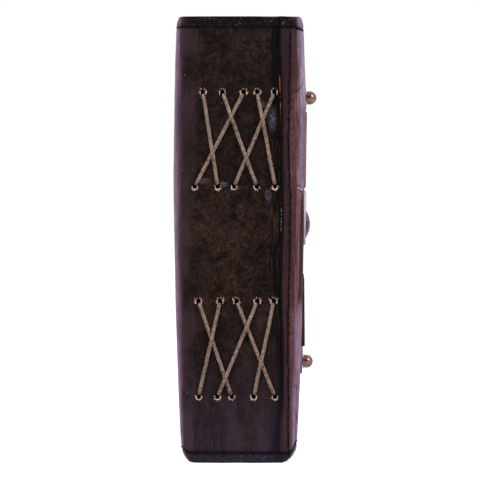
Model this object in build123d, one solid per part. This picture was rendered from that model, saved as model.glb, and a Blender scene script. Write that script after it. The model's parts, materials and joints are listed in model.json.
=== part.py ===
"""A hand-bound leather journal that stands on its tail edge.

Millimetres. The spine faces -Y, the front cover faces +X, the head is up (+Z).
The parts are drawn with x = 0 at the middle of the spine, y = 0 on the outer face
of the spine leather and z = 0 at the tail. They are moved together before export,
so that the origin is the bottom centre of the whole.
"""
from build123d import *
import os
from math import hypot, radians, sqrt, tan

# The case as a whole
cover_height = 254.0       # tail to head
cover_depth = 178.0        # outer face of the spine to the fore-edge of the covers
half_thickness = 37.2      # middle of the spine to a cover's outer face, where the case is fullest
fullest_height = 165.0     # height at which the case is fullest
tail_taper = 4.8           # how much narrower each side is at the tail
head_taper = 2.0           # how much narrower each side is at the head
tail_curl_height = 10.0    # height over which the sides curl in at the tail
tail_curl_radius = 13.6
head_curl_height = 6.0     # height over which the sides curl in at the head
head_curl_radius = 13.0
flare = 0.9                # degrees by which the front cover leans out towards the fore-edge
leather = 2.0              # thickness of the case leather
lining = 1.2               # thickness of the lining leather
fold_depth = 11.0          # depth of the two lines about which the covers turn
fold_gap = 0.3             # gap between the spine piece and a cover at the fold line
seat_gap = 0.05            # gap between layers that are sewn or glued together
cover_corner = 9.0         # rounding of the covers' fore-edge corners

# The spine
back_flat_width = 28.0     # middle of the spine to where its leather turns into the back cover
front_flat_width = 29.0    # middle of the spine to where the front leather turns
seam_edge = 24.0           # middle of the spine to the cut edge of the front leather
lap_setback = 0.3          # how far the spine leather stops short of the front turn
lap_gap = 0.1              # gap between the two layers of the lap
lining_setback = 1.0       # how far the lining stops short of the cut edge of the front leather

# The pages
page_gap = 0.4             # gap between the pages and the case on each side
spine_page_gap = 0.3       # gap between the folds of the gatherings and the spine lining
fore_square = 6.0          # how far the covers stand beyond the pages at the fore-edge
page_corner = 7.5          # rounding of the outer gatherings at the spine
groove_depth = 4.5         # depth of the grooves between the gatherings
groove_half_width = 3.0    # half width of those grooves at their mouth
groove_places = (-16.5, -6.0, 4.5, 15.5)

# The lacing: where each cord starts and ends, and whether it runs over the cords it crosses
cord_diameter = 2.2
cord_lift = 0.1            # gap between a cord and the leather, or the cord under it
hole_diameter = 3.2
cord_bend_radius = 1.5     # of a cord's turn into its hole
hump_flat = 1.3            # half length of the top of a cord's hump over another
hump_slope = 6.0           # length of each side of that hump
hump_bend_radius = 5.0     # of the turns of that hump
upper_row_drop = 43.0      # head to the upper holes of the upper group
lower_row_rise = 38.2      # tail to the lower holes of the lower group
upper_group_height = 53.2  # between the two rows of holes of the upper group
lower_group_height = 54.1  # between the two rows of holes of the lower group
upper_cords = (
    (-20.4, -12.0, True),
    (-9.4, 10.1, True),
    (2.7, -25.0, False),
    (10.4, 20.5, True),
    (20.0, -2.7, False),
)
lower_cords = (
    (-22.9, -4.2, False),
    (-10.8, -22.9, True),
    (-1.3, 20.5, False),
    (10.4, -12.2, True),
    (19.8, 8.4, True),
)

# The stone and its ring
stone_diameter = 22.0
stone_dome_radius = 15.0
stone_rise = 4.4           # how far the stone stands out of the cover
stone_above_middle = 5.5   # height of its centre above the middle of the cover
stone_depth = 94.0         # depth of its centre
stone_play = 0.15          # gap round the stone
ring_outer = 33.0
ring_above_stone = 4.0     # the ring is wider above the stone than below it
ring_rise = 1.6

# The raised leather above and below the stone
overlay_width = 46.0
overlay_rise = 1.4         # at the end by the stone
upper_overlay_gap = 2.0    # from the ring to the near end of the upper piece
upper_overlay_length = 45.0
upper_overlay_end = 2.4    # how far the upper piece stands out at its far end
lower_overlay_gap = 18.5   # from the ring to the near end of the lower piece
lower_overlay_length = 41.5
lower_overlay_end = 3.0    # how far the lower piece stands out at its far end
overlay_hollow = 4.0       # depth of the round hollow in the near ends
overlay_corner = 10.0

# The studs
stud_depth = 146.0
stud_spread = 81.4         # height of a stud above or below the middle of the cover
stud_head = 8.2            # diameter of the head
stud_head_rise = 6.2       # length of the head
stud_dome = 3.4            # length of its rounded end
stud_neck = 4.4
stud_flange = 11.0
stud_play = 0.2            # gap round the neck and the flange

# The straps
strap_width = 14.0
strap = 2.2                # thickness
strap_gap = 0.3            # gap between a strap and the covers
strap_bend_radius = 3.0    # inner radius of its two bends round the fore-edge
strap_tip = 14.0           # length of a strap beyond its stud
strap_tip_corner = 5.5
strap_root = 38.0          # length sewn to the back cover
slit_length = 6.0          # slit beside the hole, which lets the stud's head through
slit_width = 0.8

middle_height = cover_height / 2
stone_height = middle_height + stone_above_middle
upper_rows = (cover_height - upper_row_drop, cover_height - upper_row_drop - upper_group_height)
lower_rows = (lower_row_rise + lower_group_height, lower_row_rise)
reach = 4 * cover_height   # longer than anything here
diagonal = sqrt(0.5)       # sine and cosine of 45 degrees


def barrel_arc(rise, taper):
    """Centre and radius of the arc that narrows a side by taper over a height of rise."""
    radius = (rise ** 2 + taper ** 2) / (2 * taper)
    return half_thickness - radius, fullest_height, radius


def curl_arc(arc, z, radius):
    """Centre and radius of a tighter arc that leaves another arc smoothly at a height."""
    centre_x, centre_z, old_radius = arc
    drop = z - centre_z
    share = (old_radius - radius) / old_radius
    return centre_x + share * sqrt(old_radius ** 2 - drop ** 2), centre_z + share * drop, radius


low_barrel = barrel_arc(fullest_height, tail_taper)
high_barrel = barrel_arc(cover_height - fullest_height, head_taper)
tail_curl = curl_arc(low_barrel, tail_curl_height, tail_curl_radius)
head_curl = curl_arc(high_barrel, cover_height - head_curl_height, head_curl_radius)
page_profile = (
    (tail_curl_height, fullest_height, low_barrel),
    (fullest_height, cover_height - head_curl_height, high_barrel),
)
side_profile = (
    (0, tail_curl_height, tail_curl),
    *page_profile,
    (cover_height - head_curl_height, cover_height, head_curl),
)


def arc_x(arc, z):
    """Where an arc of the side profile is at a height."""
    centre_x, centre_z, radius = arc
    return centre_x + sqrt(radius ** 2 - (z - centre_z) ** 2)


def half_width(z):
    """Half thickness of the case at a height, at the fold line."""
    low, high, arc = next(span for span in side_profile if z <= span[1])
    return arc_x(arc, z)


def curl_in(z):
    """How far the sides curl in at a height, near head and tail."""
    barrel = low_barrel if z < fullest_height else high_barrel
    return arc_x(barrel, z) - half_width(z)


def lean(y):
    """How far the front cover leans out at a depth."""
    return (y - fold_depth) * tan(radians(flare))


def side_arcs(profile, grow, y, side):
    """The arcs of one side of the case, from the tail up."""
    arcs = []
    out = grow + (lean(y) if side > 0 else 0)
    for low, high, arc in profile:
        points = [(side * (arc_x(arc, z) + out), y, z) for z in (low, (low + high) / 2, high)]
        arcs.append(ThreePointArc(*points))
    return arcs


def case_section(profile, grow, y):
    """Outline of the closed case across its depth, grown by an amount on both sides."""
    right = side_arcs(profile, grow, y, 1)
    left = side_arcs(profile, grow, y, -1)
    foot = Line(left[0] @ 0, right[0] @ 0)
    top = Line(left[-1] @ 1, right[-1] @ 1)
    return Wire([foot, *right, top, *left])


def case_block(grow, y_start, y_end, profile=side_profile):
    """The closed case as a block between two depths."""
    sections = [case_section(profile, grow, y) for y in (y_start, y_end)]
    return Solid.make_loft(sections, True)


def side_of(shape, side):
    """The solid of a shape that lies furthest to one side."""
    ordered = shape.solids().sort_by(Axis.X)
    return ordered[-1] if side > 0 else ordered[0]


def slab(z_low, z_high):
    """All that lies between two heights."""
    return Pos(0, 0, (z_low + z_high) / 2) * Box(reach, reach, z_high - z_low)


def between_depths(y_low, y_high):
    """All that lies between two depths."""
    return Pos(0, (y_low + y_high) / 2, 0) * Box(reach, y_high - y_low, reach)


def half_space(side):
    """All that lies on one side of the middle."""
    return Pos(side * reach / 2, 0, 0) * Box(reach, reach, reach)


def cover_outline():
    """A cover's outline, as a long bar along X."""
    start = fold_depth + fold_gap
    plate = Pos((start + cover_depth) / 2, middle_height) * Rectangle(cover_depth - start, cover_height)
    fore_corners = plate.vertices().sort_by(Axis.X)[-2:]
    rounded = fillet(fore_corners, cover_corner)
    return extrude(Plane.YZ * rounded, reach, both=True)


def cover_sheet(outer, inner, side):
    """One layer of a cover, between two distances from the case's outer face."""
    start = fold_depth + fold_gap
    block = case_block(outer, start, cover_depth) - case_block(inner, start, cover_depth)
    return side_of(block, side) & cover_outline()


def flat_end(flat_width, z):
    """Where the flat of the spine ends at a height."""
    return flat_width - curl_in(z)


def turned_section(z, free_end, flat_width, outer_y, outer, inner):
    """A strip across the spine at one height that turns into a cover on the +X side.

    It runs from free_end over the flat and round the turn to the fold line. outer
    and inner are distances inwards from the outer face, which is at outer_y.
    """
    width = half_width(z)
    flat = flat_end(flat_width, z)
    bend = width - flat

    def run(inset):
        edge = width - inset
        y_flat = outer_y + inset
        y_side = outer_y + bend
        corner = (bend - inset) * (1 - diagonal)
        level = Line((free_end, y_flat, z), (flat, y_flat, z))
        middle = (edge - corner, y_flat + corner, z)
        turn = ThreePointArc((flat, y_flat, z), middle, (edge, y_side, z))
        rise = Line((edge, y_side, z), (edge, fold_depth, z))
        return level, turn, rise

    out_level, out_turn, out_rise = run(outer)
    in_level, in_turn, in_rise = run(inner)
    end = Line(out_rise @ 1, in_rise @ 1)
    start = Line(in_level @ 0, out_level @ 0)
    return Wire([out_level, out_turn, out_rise, end, in_rise, in_turn, in_level, start])


def turned_strip(end_at, flat_width, outer_y, outer, inner):
    """The strip from tail to head. end_at gives its free end at a height."""
    spans = []
    for low, high, arc in side_profile:
        heights = (low, (low + high) / 2, high)
        sections = [turned_section(z, end_at(z), flat_width, outer_y, outer, inner) for z in heights]
        spans.append(Solid.make_loft(sections))
    return spans[0].fuse(*spans[1:])


def sewing_holes():
    """The punched holes of both groups of cords."""
    holes = []
    for rows, cords in ((upper_rows, upper_cords), (lower_rows, lower_cords)):
        for top_x, bottom_x, over in cords:
            for x, z in ((top_x, rows[0]), (bottom_x, rows[1])):
                holes.append(Pos(x, 0, z) * Rot(90, 0, 0) * Cylinder(hole_diameter / 2, cover_depth / 2))
    return holes


def spine_leather():
    """Flat over the spine, turned into the back cover, and tucked under the front leather."""
    def under_front(z):
        return lap_setback - flat_end(front_flat_width, z)

    strip = turned_strip(under_front, back_flat_width, 0, 0, leather)
    return mirror(strip, Plane.YZ) - sewing_holes()


def spine_lining():
    def short_of_seam(z):
        return lining_setback - seam_edge

    strip = turned_strip(short_of_seam, back_flat_width, 0, leather, leather + lining)
    return mirror(strip, Plane.YZ) - sewing_holes()


def front_hinge_strip():
    """The edge of the front leather, from its cut edge on the spine round to the fold line."""
    def middle(z):
        return 0

    strip = turned_strip(middle, front_flat_width, -leather - lap_gap, 0, leather)
    return strip & Pos(seam_edge + reach / 2, 0, 0) * Box(reach, reach, reach)


def page_groove(x):
    """The groove between two gatherings, seen from above and drawn along the spine."""
    y_mouth = leather + lining + spine_page_gap
    radius = (groove_half_width ** 2 + groove_depth ** 2) / (2 * groove_half_width)
    tip = (x, y_mouth + groove_depth)
    left = (x - groove_half_width, y_mouth)
    right = (x + groove_half_width, y_mouth)
    sides = [RadiusArc(left, tip, -radius), RadiusArc(tip, right, -radius), Line(right, left)]
    return extrude(make_face(sides), cover_height)


def text_block():
    """The gatherings, between the curled edges of the case at head and tail."""
    start = leather + lining + spine_page_gap
    inset = leather + lining + page_gap
    block = case_block(-inset, start, cover_depth - fore_square, page_profile)
    spine_edges = block.edges().group_by(Axis.Y)[0]
    block = fillet(spine_edges.filter_by(lambda e: e.bounding_box().size.Z > page_corner), page_corner)
    return block - [page_groove(x) for x in groove_places]


def crossings(cords, index):
    """How far down one cord the cords it runs over are met, from 0 to 1."""
    top_x, bottom_x, over = cords[index]
    found = []
    for other_top, other_bottom, other_over in cords:
        at_top = top_x - other_top
        at_bottom = bottom_x - other_bottom
        if over and not other_over and at_top * at_bottom < 0:
            found.append(at_top / (at_top - at_bottom))
    return sorted(found)


def cord(cords, rows, index):
    """One cord, out of its upper hole, down the spine and into its lower hole."""
    top_x, bottom_x, over = cords[index]
    length = hypot(bottom_x - top_x, rows[0] - rows[1])
    low_y = -cord_diameter / 2 - cord_lift
    high_y = low_y - cord_diameter - cord_lift
    inside_y = leather + lining

    def point(along, y):
        share = along / length
        return (top_x + share * (bottom_x - top_x), y, rows[0] + share * (rows[1] - rows[0]))

    points = [point(0, inside_y), point(0, low_y)]
    turns = [cord_bend_radius]
    for share in crossings(cords, index):
        centre = share * length
        places = (
            (-hump_flat - hump_slope, low_y),
            (-hump_flat, high_y),
            (hump_flat, high_y),
            (hump_flat + hump_slope, low_y),
        )
        for offset, y in places:
            points.append(point(centre + offset, y))
            turns.append(hump_bend_radius)
    points.append(point(length, low_y))
    points.append(point(length, inside_y))
    turns.append(cord_bend_radius)
    path = rounded_path(points, turns)
    return sweep(Plane(path @ 0, z_dir=path % 0) * Circle(cord_diameter / 2), path)


def rounded_path(points, turns):
    """Straight runs between points, joined by arcs of the given radii."""
    corners = [Vector(*p) for p in points]
    edges = []
    last = corners[0]
    for index, radius in enumerate(turns):
        before = corners[index]
        corner = corners[index + 1]
        after = corners[index + 2]
        back = (before - corner).normalized()
        ahead = (after - corner).normalized()
        half_angle = radians(back.get_angle(ahead)) / 2
        start = corner + back * (radius / tan(half_angle))
        end = corner + ahead * (radius / tan(half_angle))
        towards = (back + ahead).normalized()
        distance = sqrt((start - corner).length ** 2 + radius ** 2) - radius
        edges.append(Line(last, start))
        edges.append(ThreePointArc(start, corner + towards * distance, end))
        last = end
    edges.append(Line(last, corners[-1]))
    return Wire(edges)


def lacing(cords, rows):
    return Compound(children=[cord(cords, rows, index).solid() for index in range(len(cords))])


def cover_plane(y, z):
    """A plane on the front cover's outer face, at a depth and height, that faces outwards."""
    low, high, arc = next(span for span in side_profile if z <= span[1])
    centre_x, centre_z, radius = arc
    outwards = (arc_x(arc, z) - centre_x, (centre_x - arc_x(arc, z)) * tan(radians(flare)), z - centre_z)
    return Plane((half_width(z) + lean(y), y, z), x_dir=(0, 1, 0), z_dir=outwards)


def bore(diameter, y, z):
    """A round hole through the front cover."""
    return cover_plane(y, z) * Cylinder(diameter / 2, cover_depth)


def stone_solid(play):
    """The stone, grown by a gap all round: a round post under a dome."""
    radius = stone_diameter / 2 + play
    dome = stone_dome_radius + play
    tip = stone_rise + play
    base = stone_play - leather - play
    shoulder = tip - dome + sqrt(dome ** 2 - radius ** 2)
    half = radius / 2
    outline = [
        Line((0, base), (radius, base)),
        Line((radius, base), (radius, shoulder)),
        ThreePointArc((radius, shoulder), (half, tip - dome + sqrt(dome ** 2 - half ** 2)), (0, tip)),
        Line((0, tip), (0, base)),
    ]
    return cover_plane(stone_depth, stone_height) * revolve(Plane.XZ * make_face(outline), Axis.Z)


def stone():
    return stone_solid(0)


def stone_setting():
    """The leather ring that laps over the edge of the stone."""
    disc = Pos(0, 0, stone_play) * Cylinder(ring_outer / 2, ring_rise, align=(Align.CENTER, Align.CENTER, Align.MIN))
    disc = fillet(disc.edges().sort_by(Axis.Z)[-1], ring_rise / 2)
    return cover_plane(stone_depth, stone_height + ring_above_stone) * disc - stone_solid(stone_play)


def stud_height(side):
    return middle_height + side * stud_spread


def overlay_face(side, near, length, end):
    """The flat outer face of an overlay, which stands out more at its far end."""
    near_z = stone_height + side * near
    far_z = near_z + side * length
    near_point = Vector(half_width(near_z) + overlay_rise + lean(stone_depth), stone_depth, near_z)
    far_point = Vector(half_width(far_z) + end + lean(stone_depth), stone_depth, far_z)
    across = Vector(tan(radians(flare)), 1, 0)
    return Plane(near_point, x_dir=across, z_dir=across.cross(far_point - near_point) * side)


def overlay(side, gap, length, end):
    """The raised leather above (1) or below (-1) the stone, with a hollow end towards it."""
    near = ring_outer / 2 + side * ring_above_stone + gap
    plate = Pos(0, near + length / 2) * Rectangle(overlay_width, length)
    plate = fillet(plate.vertices().sort_by(Axis.Y)[-2:], overlay_corner)
    plate = plate - Circle(near + overlay_hollow)
    turned = Pos(stone_depth, stone_height) * Rot(0, 0, 90 - 90 * side) * plate
    under_face = overlay_face(side, near, length, end) * Pos(0, 0, -reach / 2) * Box(reach, reach, reach)
    return extrude(Plane.YZ * turned, reach) & under_face - case_block(seat_gap, fold_depth, cover_depth)


def front_leather():
    sheet = cover_sheet(0, -leather, 1)
    holes = [bore(stud_neck + stud_play, stud_depth, stud_height(side)) for side in (1, -1)]
    return sheet - holes - stone_solid(stone_play)


def front_lining():
    sheet = cover_sheet(-leather, -leather - lining, 1)
    return sheet - [bore(stud_flange + stud_play, stud_depth, stud_height(side)) for side in (1, -1)]


def back_leather():
    return cover_sheet(0, -leather, -1)


def back_lining():
    return cover_sheet(-leather, -leather - lining, -1)


def stud(side):
    """A stud: a flange let into the lining, a neck through leather and strap, and a domed head."""
    inside = -leather - lining
    seat = -leather - seat_gap
    under_head = strap + 2 * strap_gap
    tip = under_head + stud_head_rise
    neck = stud_neck / 2
    flange = stud_flange / 2
    head = stud_head / 2
    shoulder = tip - stud_dome
    dome = (head ** 2 + stud_dome ** 2) / (2 * stud_dome)
    half = head / 2
    outline = [
        Line((0, inside), (flange, inside)),
        Line((flange, inside), (flange, seat)),
        Line((flange, seat), (neck, seat)),
        Line((neck, seat), (neck, under_head)),
        Line((neck, under_head), (head, under_head)),
        Line((head, under_head), (head, shoulder)),
        ThreePointArc((head, shoulder), (half, tip - dome + sqrt(dome ** 2 - half ** 2)), (0, tip)),
        Line((0, tip), (0, inside)),
    ]
    turned = revolve(Plane.XZ * make_face(outline), Axis.Z)
    return cover_plane(stud_depth, stud_height(side)) * turned


def strap_piece(side):
    """A strap: sewn to the back cover, round the fore-edge and over its stud."""
    z = stud_height(side)
    band = slab(z - strap_width / 2, z + strap_width / 2)
    start = fold_depth
    far = cover_depth + strap_gap + strap_bend_radius
    outside = case_block(strap_gap + strap, start, far + strap) & band
    inside = case_block(strap_gap, start, far) & band
    outside = fillet(outside.edges().group_by(Axis.Y)[-1].filter_by(is_upright), strap_bend_radius + strap)
    inside = fillet(inside.edges().group_by(Axis.Y)[-1].filter_by(is_upright), strap_bend_radius)
    loop = outside - inside
    front_cut = between_depths(start - reach, stud_depth - strap_tip) & half_space(1)
    back_cut = between_depths(start - reach, cover_depth - strap_root) & half_space(-1)
    loop = loop - front_cut - back_cut
    tip_corners = loop.edges().filter_by(is_tip_corner)
    loop = fillet(tip_corners, strap_tip_corner)
    through = 4 * (strap + strap_gap)
    buttonhole = Cylinder(stud_neck / 2 + stud_play, through)
    slit = Pos(slit_length / 2, 0, 0) * Box(slit_length, slit_width, through)
    return loop - cover_plane(stud_depth, z) * (buttonhole + Pos(stud_neck / 2, 0, 0) * slit)


def is_upright(edge):
    """Whether an edge runs up the width of a strap."""
    return edge.bounding_box().size.Z > strap_width / 2


def is_tip_corner(edge):
    """Whether an edge is a corner of a strap's end, through its thickness."""
    size = edge.bounding_box().size
    middle = edge.center()
    at_front_end = middle.X > 0 and middle.Y < stud_depth
    at_back_end = middle.X < 0 and middle.Y < cover_depth - strap_root / 2
    return size.X > strap / 2 and size.Y < strap / 2 and (at_front_end or at_back_end)


parts = {
    "text_block": text_block(),
    "spine_leather": spine_leather(),
    "spine_lining": spine_lining(),
    "front_hinge_strip": front_hinge_strip(),
    "upper_lacing": lacing(upper_cords, upper_rows),
    "lower_lacing": lacing(lower_cords, lower_rows),
    "front_leather": front_leather(),
    "front_lining": front_lining(),
    "upper_overlay": overlay(1, upper_overlay_gap, upper_overlay_length, upper_overlay_end),
    "lower_overlay": overlay(-1, lower_overlay_gap, lower_overlay_length, lower_overlay_end),
    "stone_setting": stone_setting(),
    "stone": stone(),
    "upper_stud": stud(1),
    "lower_stud": stud(-1),
    "back_leather": back_leather(),
    "back_lining": back_lining(),
    "upper_strap": strap_piece(1),
    "lower_strap": strap_piece(-1),
}

whole = Compound(children=[Compound(shape.solids()) for shape in parts.values()]).bounding_box()
to_origin = Pos(-whole.center().X, -whole.center().Y, -whole.min.Z)

os.makedirs("parts", exist_ok=True)
for name, shape in parts.items():
    solids = shape.solids()
    body = solids[0] if len(solids) == 1 else Compound(solids)
    export_step(to_origin * body, f"parts/{name}.step")
    print(name, len(solids), round(body.volume, 1), body.is_valid)

print("moved by", to_origin.position)
print("whole", whole.size)
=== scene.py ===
"""Dresses a laced leather journal: hides, linings, leaves, cords, torn holes, stitches, trims and stage.

The journal stands on its tail with its spine to the viewer. Lengths are in metres. Points of the case
are worked out across from the middle of the spine, back from the spine's outer face, and up from the tail.
"""

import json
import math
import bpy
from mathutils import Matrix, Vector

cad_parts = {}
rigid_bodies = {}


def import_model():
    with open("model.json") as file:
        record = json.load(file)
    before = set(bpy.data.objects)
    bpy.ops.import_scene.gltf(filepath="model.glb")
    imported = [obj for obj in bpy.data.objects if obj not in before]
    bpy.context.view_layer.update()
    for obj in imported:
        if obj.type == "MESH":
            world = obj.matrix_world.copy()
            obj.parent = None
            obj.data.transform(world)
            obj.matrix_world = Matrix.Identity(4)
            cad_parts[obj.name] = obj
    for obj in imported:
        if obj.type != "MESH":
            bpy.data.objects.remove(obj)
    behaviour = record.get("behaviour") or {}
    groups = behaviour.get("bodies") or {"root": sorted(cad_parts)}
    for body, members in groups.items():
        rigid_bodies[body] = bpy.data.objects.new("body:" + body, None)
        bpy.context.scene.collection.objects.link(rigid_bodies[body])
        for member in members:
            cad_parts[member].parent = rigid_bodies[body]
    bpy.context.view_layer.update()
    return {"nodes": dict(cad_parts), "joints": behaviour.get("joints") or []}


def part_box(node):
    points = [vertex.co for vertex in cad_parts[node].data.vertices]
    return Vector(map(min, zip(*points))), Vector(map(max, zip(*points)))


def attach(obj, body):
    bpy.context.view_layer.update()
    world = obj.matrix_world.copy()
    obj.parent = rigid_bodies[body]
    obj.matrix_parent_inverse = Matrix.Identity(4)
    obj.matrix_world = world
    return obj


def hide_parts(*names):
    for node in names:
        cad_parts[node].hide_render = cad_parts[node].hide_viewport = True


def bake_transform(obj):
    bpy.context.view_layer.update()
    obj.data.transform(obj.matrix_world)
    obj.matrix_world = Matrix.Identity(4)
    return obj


bl_info = {
    "name": "Laced leather journal",
    "version": (1, 0, 0),
    "blender": (4, 5, 0),
    "location": "View3D > Sidebar > Journal",
    "description": "Dresses the journal's frame with leather, paper, cord, metal and stone",
    "category": "Object",
}

import bmesh
import bpy
import numpy as np
from bpy.props import FloatProperty, FloatVectorProperty, IntProperty, PointerProperty
from mathutils import Vector, noise

for start_up_object in list(bpy.data.objects):
    bpy.data.objects.remove(start_up_object)

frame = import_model()

FRONT = 1
BACK = -1
MM = 0.001


def hinge_place(name):
    """Where a cover's hinge line stands in the frame."""
    return Vector(next(joint["pos_m"] for joint in frame["joints"] if joint["name"] == name))


front_hinge = hinge_place("front_cover_hinge")
back_hinge = hinge_place("back_cover_hinge")
middle_x = (front_hinge.x + back_hinge.x) / 2
half_thickness = (front_hinge.x - back_hinge.x) / 2
spine_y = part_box("spine_leather")[0].y
fold_depth = front_hinge.y - spine_y
lap_rise = spine_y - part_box("front_hinge_strip")[0].y
cover_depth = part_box("front_leather")[1].y - spine_y
cover_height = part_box("front_leather")[1].z
page_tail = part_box("text_block")[0].z
page_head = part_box("text_block")[1].z
page_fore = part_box("text_block")[1].y - spine_y

# Each cord of the lacing: its upper hole and its lower hole, in millimetres across, and if it runs over.
UPPER_CORDS = (
    (-20.4, -12.0, True),
    (-9.4, 10.1, True),
    (2.7, -25.0, False),
    (10.4, 20.5, True),
    (20.0, -2.7, False),
)
LOWER_CORDS = (
    (-22.9, -4.2, False),
    (-10.8, -22.9, True),
    (-1.3, 20.5, False),
    (10.4, -12.2, True),
    (19.8, 8.4, True),
)

# Creases of the front turn as start, pull and end: millimetres round from the cut edge, and up from the tail.
CREASES = (
    ((5.2, 211.5), (11.0, 210.6), (13.8, 217.0)),
    ((9.0, 199.2), (9.9, 194.5), (11.2, 187.0)),
    ((8.6, 158.6), (10.8, 158.0), (12.6, 155.2)),
    ((6.9, 44.6), (9.4, 44.4), (10.6, 41.6)),
    ((12.3, 243.0), (12.9, 234.0), (12.2, 225.0)),
    ((9.3, 29.0), (9.8, 26.0), (9.2, 22.0)),
)

# How the seam strays: millimetres up, and then towards the front for its cut edge and for its stitches.
SEAM_STRAYS = (
    (8, -0.5, -0.4),
    (35, 0.3, -0.3),
    (50, 0.5, -0.35),
    (66, 0.35, -0.55),
    (85, -0.2, -0.3),
    (100, -0.45, -0.05),
    (117, -0.3, 0.3),
    (134, 0.3, 0.45),
    (151, 0.45, 0.55),
    (168, 0.1, -0.1),
    (185, 0.0, -0.3),
    (202, -0.1, 0.1),
    (219, -0.5, 0.2),
    (236, -1.4, 0.55),
)

# Grey rubbed places of the spine, in millimetres: across, up, half width and half height.
RUBBED = (
    (-20.5, 161.0, 4.5, 2.6),
    (16.6, 152.5, 2.6, 5.0),
    (13.2, 204.0, 3.0, 3.0),
    (18.8, 196.0, 3.6, 10.0),
    (-9.0, 159.0, 4.5, 2.2),
)

# Torn places of the front turn beside the stone's ring, as above, with a colour for each. The near-white ones
# are a painted highlight.
TEARS = (
    (35.0, 151.6, 0.7, 2.6, "raw_orange"),
    (34.5, 156.9, 1.7, 0.6, "ring_edge_highlight"),
    (35.6, 156.0, 1.4, 1.0, "ring_edge_highlight"),
    (34.8, 155.0, 0.9, 0.8, "edge_black"),
)

# Where finishes begin and end along a line: start, full, fading and end.
# A turn begins at 0 on the spine and ends at 1 on the cover. Heights and reaches are in metres.
BANDS = {
    "front bloom": (0.20, 0.56, 0.80, 1.05),
    "stone bloom": (0.22, 0.34, 0.43, 0.54),
    "low bloom": (0.13, 0.52, 1.60, 1.80),
    "back bloom": (0.33, 0.84, 0.95, 1.08),
    "beside the stone": (0.084, 0.096, 0.152, 0.158),
    "warm middle": (0.07, 0.1, 0.14, 0.17),
    "golden heights": (0.095, 0.115, 0.185, 0.2),
    "red past the seam": (0, 0.0015, 0.005, 0.009),
    "soot past the seam": (0.0003, 0.0008, 0.0024, 0.0042),
    "wine on the turn": (0.43, 0.6, 0.95, 1.04),
    "red on the turn": (0.55, 0.7, 0.9, 1.05),
    "red heights": (0.152, 0.164, 0.196, 0.206),
    "bare heights": (0.210, 0.2135, 0.2185, 0.2215),
    "dotted heights": (0.186, 0.196, 0.210, 0.214),
    "pale heights": (0.130, 0.134, 0.147, 0.151),
}

# How a value is drawn out: where it starts and ends, and what it gives there if that isn't 0 and 1.
SLOPES = {
    "patch": (1.0, 0.1),
    "dark to middle": (0.36, 0.52),
    "middle to light": (0.5, 0.7, 0, 0.8),
    "small lights": (0.42, 0.7, 0, 0.55),
    "small darks": (0.52, 0.3, 0, 0.6),
    "pores": (0.5, 0.34, 0, 0.85),
    "fibre patches": (0.38, 0.6, 0.2, 1),
    "fibres": (0.57, 0.72),
    "flecks": (0.64, 0.76),
    "edge streaks": (0.66, 0.5, 0.45, 1),
    "edge flecks": (0.52, 0.7, 0, 0.9),
    "edge fleck patches": (0.38, 0.56, 0.3, 1),
    "fine bloom": (0.36, 0.6, 0.5, 1),
    "bloom clouds": (0.34, 0.58, 0.7, 1),
    "low clouds": (0.38, 0.6, 0.25, 1),
    "low spine": (0.075, 0.0),
    "low pores": (0.03, 0.1, 0.3, 1),
    "smoke": (0.52, 0.36, 0, 0.85),
    "low smoke": (0.02, 0.08, 0.2, 1),
    "wider turn": (0.18, 0.215, 0, 0.0016),
    "shaded to lighter": (0.18, 0.55),
    "low back": (0.045, 0.02),
    "seam soot": (0.62, 0.48),
    "low soot": (0.09, 0.03, 0, 0.6),
    "golden": (0.56, 0.68),
    "smear": (0.32, 0.66),
    "specks": (0.79, 0.83, 0, 0.8),
    "low front": (0.096, 0.084),
    "wrinkles": (0.5, 0.36, 0, 0.75),
    "dark head": (0.195, 0.228, 0, 0.65),
    "pale head": (0.195, 0.228),
    "later bloom": (0.2, 0.228, 0, 0.1),
    "sooner bloom": (0.07, 0.02, 0, 0.10),
    "on the turn": (1.06, 0.88),
    "mauve tail": (0.075, 0.03, 0, 0.7),
    "mauve past the seam": (-0.0005, 0.0015, 0.25, 1),
    "strip streaks": (0.36, 0.6, 0.45, 0.95),
    "strip": (0.0008, -0.0005),
    "torn": (0.4, 0.55),
    "lap shadow": (0.0017, 0.0006),
    "low lap shadow": (0.012, 0.045, 0.35, 0.95),
    "broken edge": (0.5, 0.62),
    "tail edge": (0.045, 0.012),
    "cut edge": (0.7, 0.97, 0, 0.95),
    "brushed suede": (0.35, 0.65),
    "nap": (0.35, 0.65, 0, 0.5),
    "hidden side": (0.6, 0.9),
    "suede roughness": (0.3, 0.7, 0.85, 0.97),
    "paper stains": (0.35, 0.7, 0, 0.45),
    "paper fibres": (0.52, 0.75, 0, 0.45),
    "paper roughness": (0.2, 0.8, 0.8, 0.95),
    "cord fibres": (0.37, 0.64),
    "cord soil": (0.51, 0.37, 0, 0.8),
    "patchy strand shade": (0.4, 0.6, 0.25, 0.75),
    "between strands": (0.0, -0.9),
    "cord roughness": (0.3, 0.7, 0.75, 0.55),
    "thread twist": (0.35, 0.7),
    "thread roughness": (0.3, 0.7, 0.55, 0.75),
    "torn fibres": (0.3, 0.5),
    "torn roots": (0.45, 0.95),
    "torn roughness": (0.3, 0.7, 0.7, 0.9),
    "tarnish": (0.36, 0.6, 0.5, 1),
    "copper spots": (0.62, 0.78, 0, 0.5),
    "copper roughness": (0.35, 0.65, 0.40, 0.28),
    "stone clouds": (0.35, 0.65),
    "stone veins": (0.03, 0.0, 0, 0.7),
    "stone roughness": (0.3, 0.7, 0.12, 0.26),
}

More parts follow.
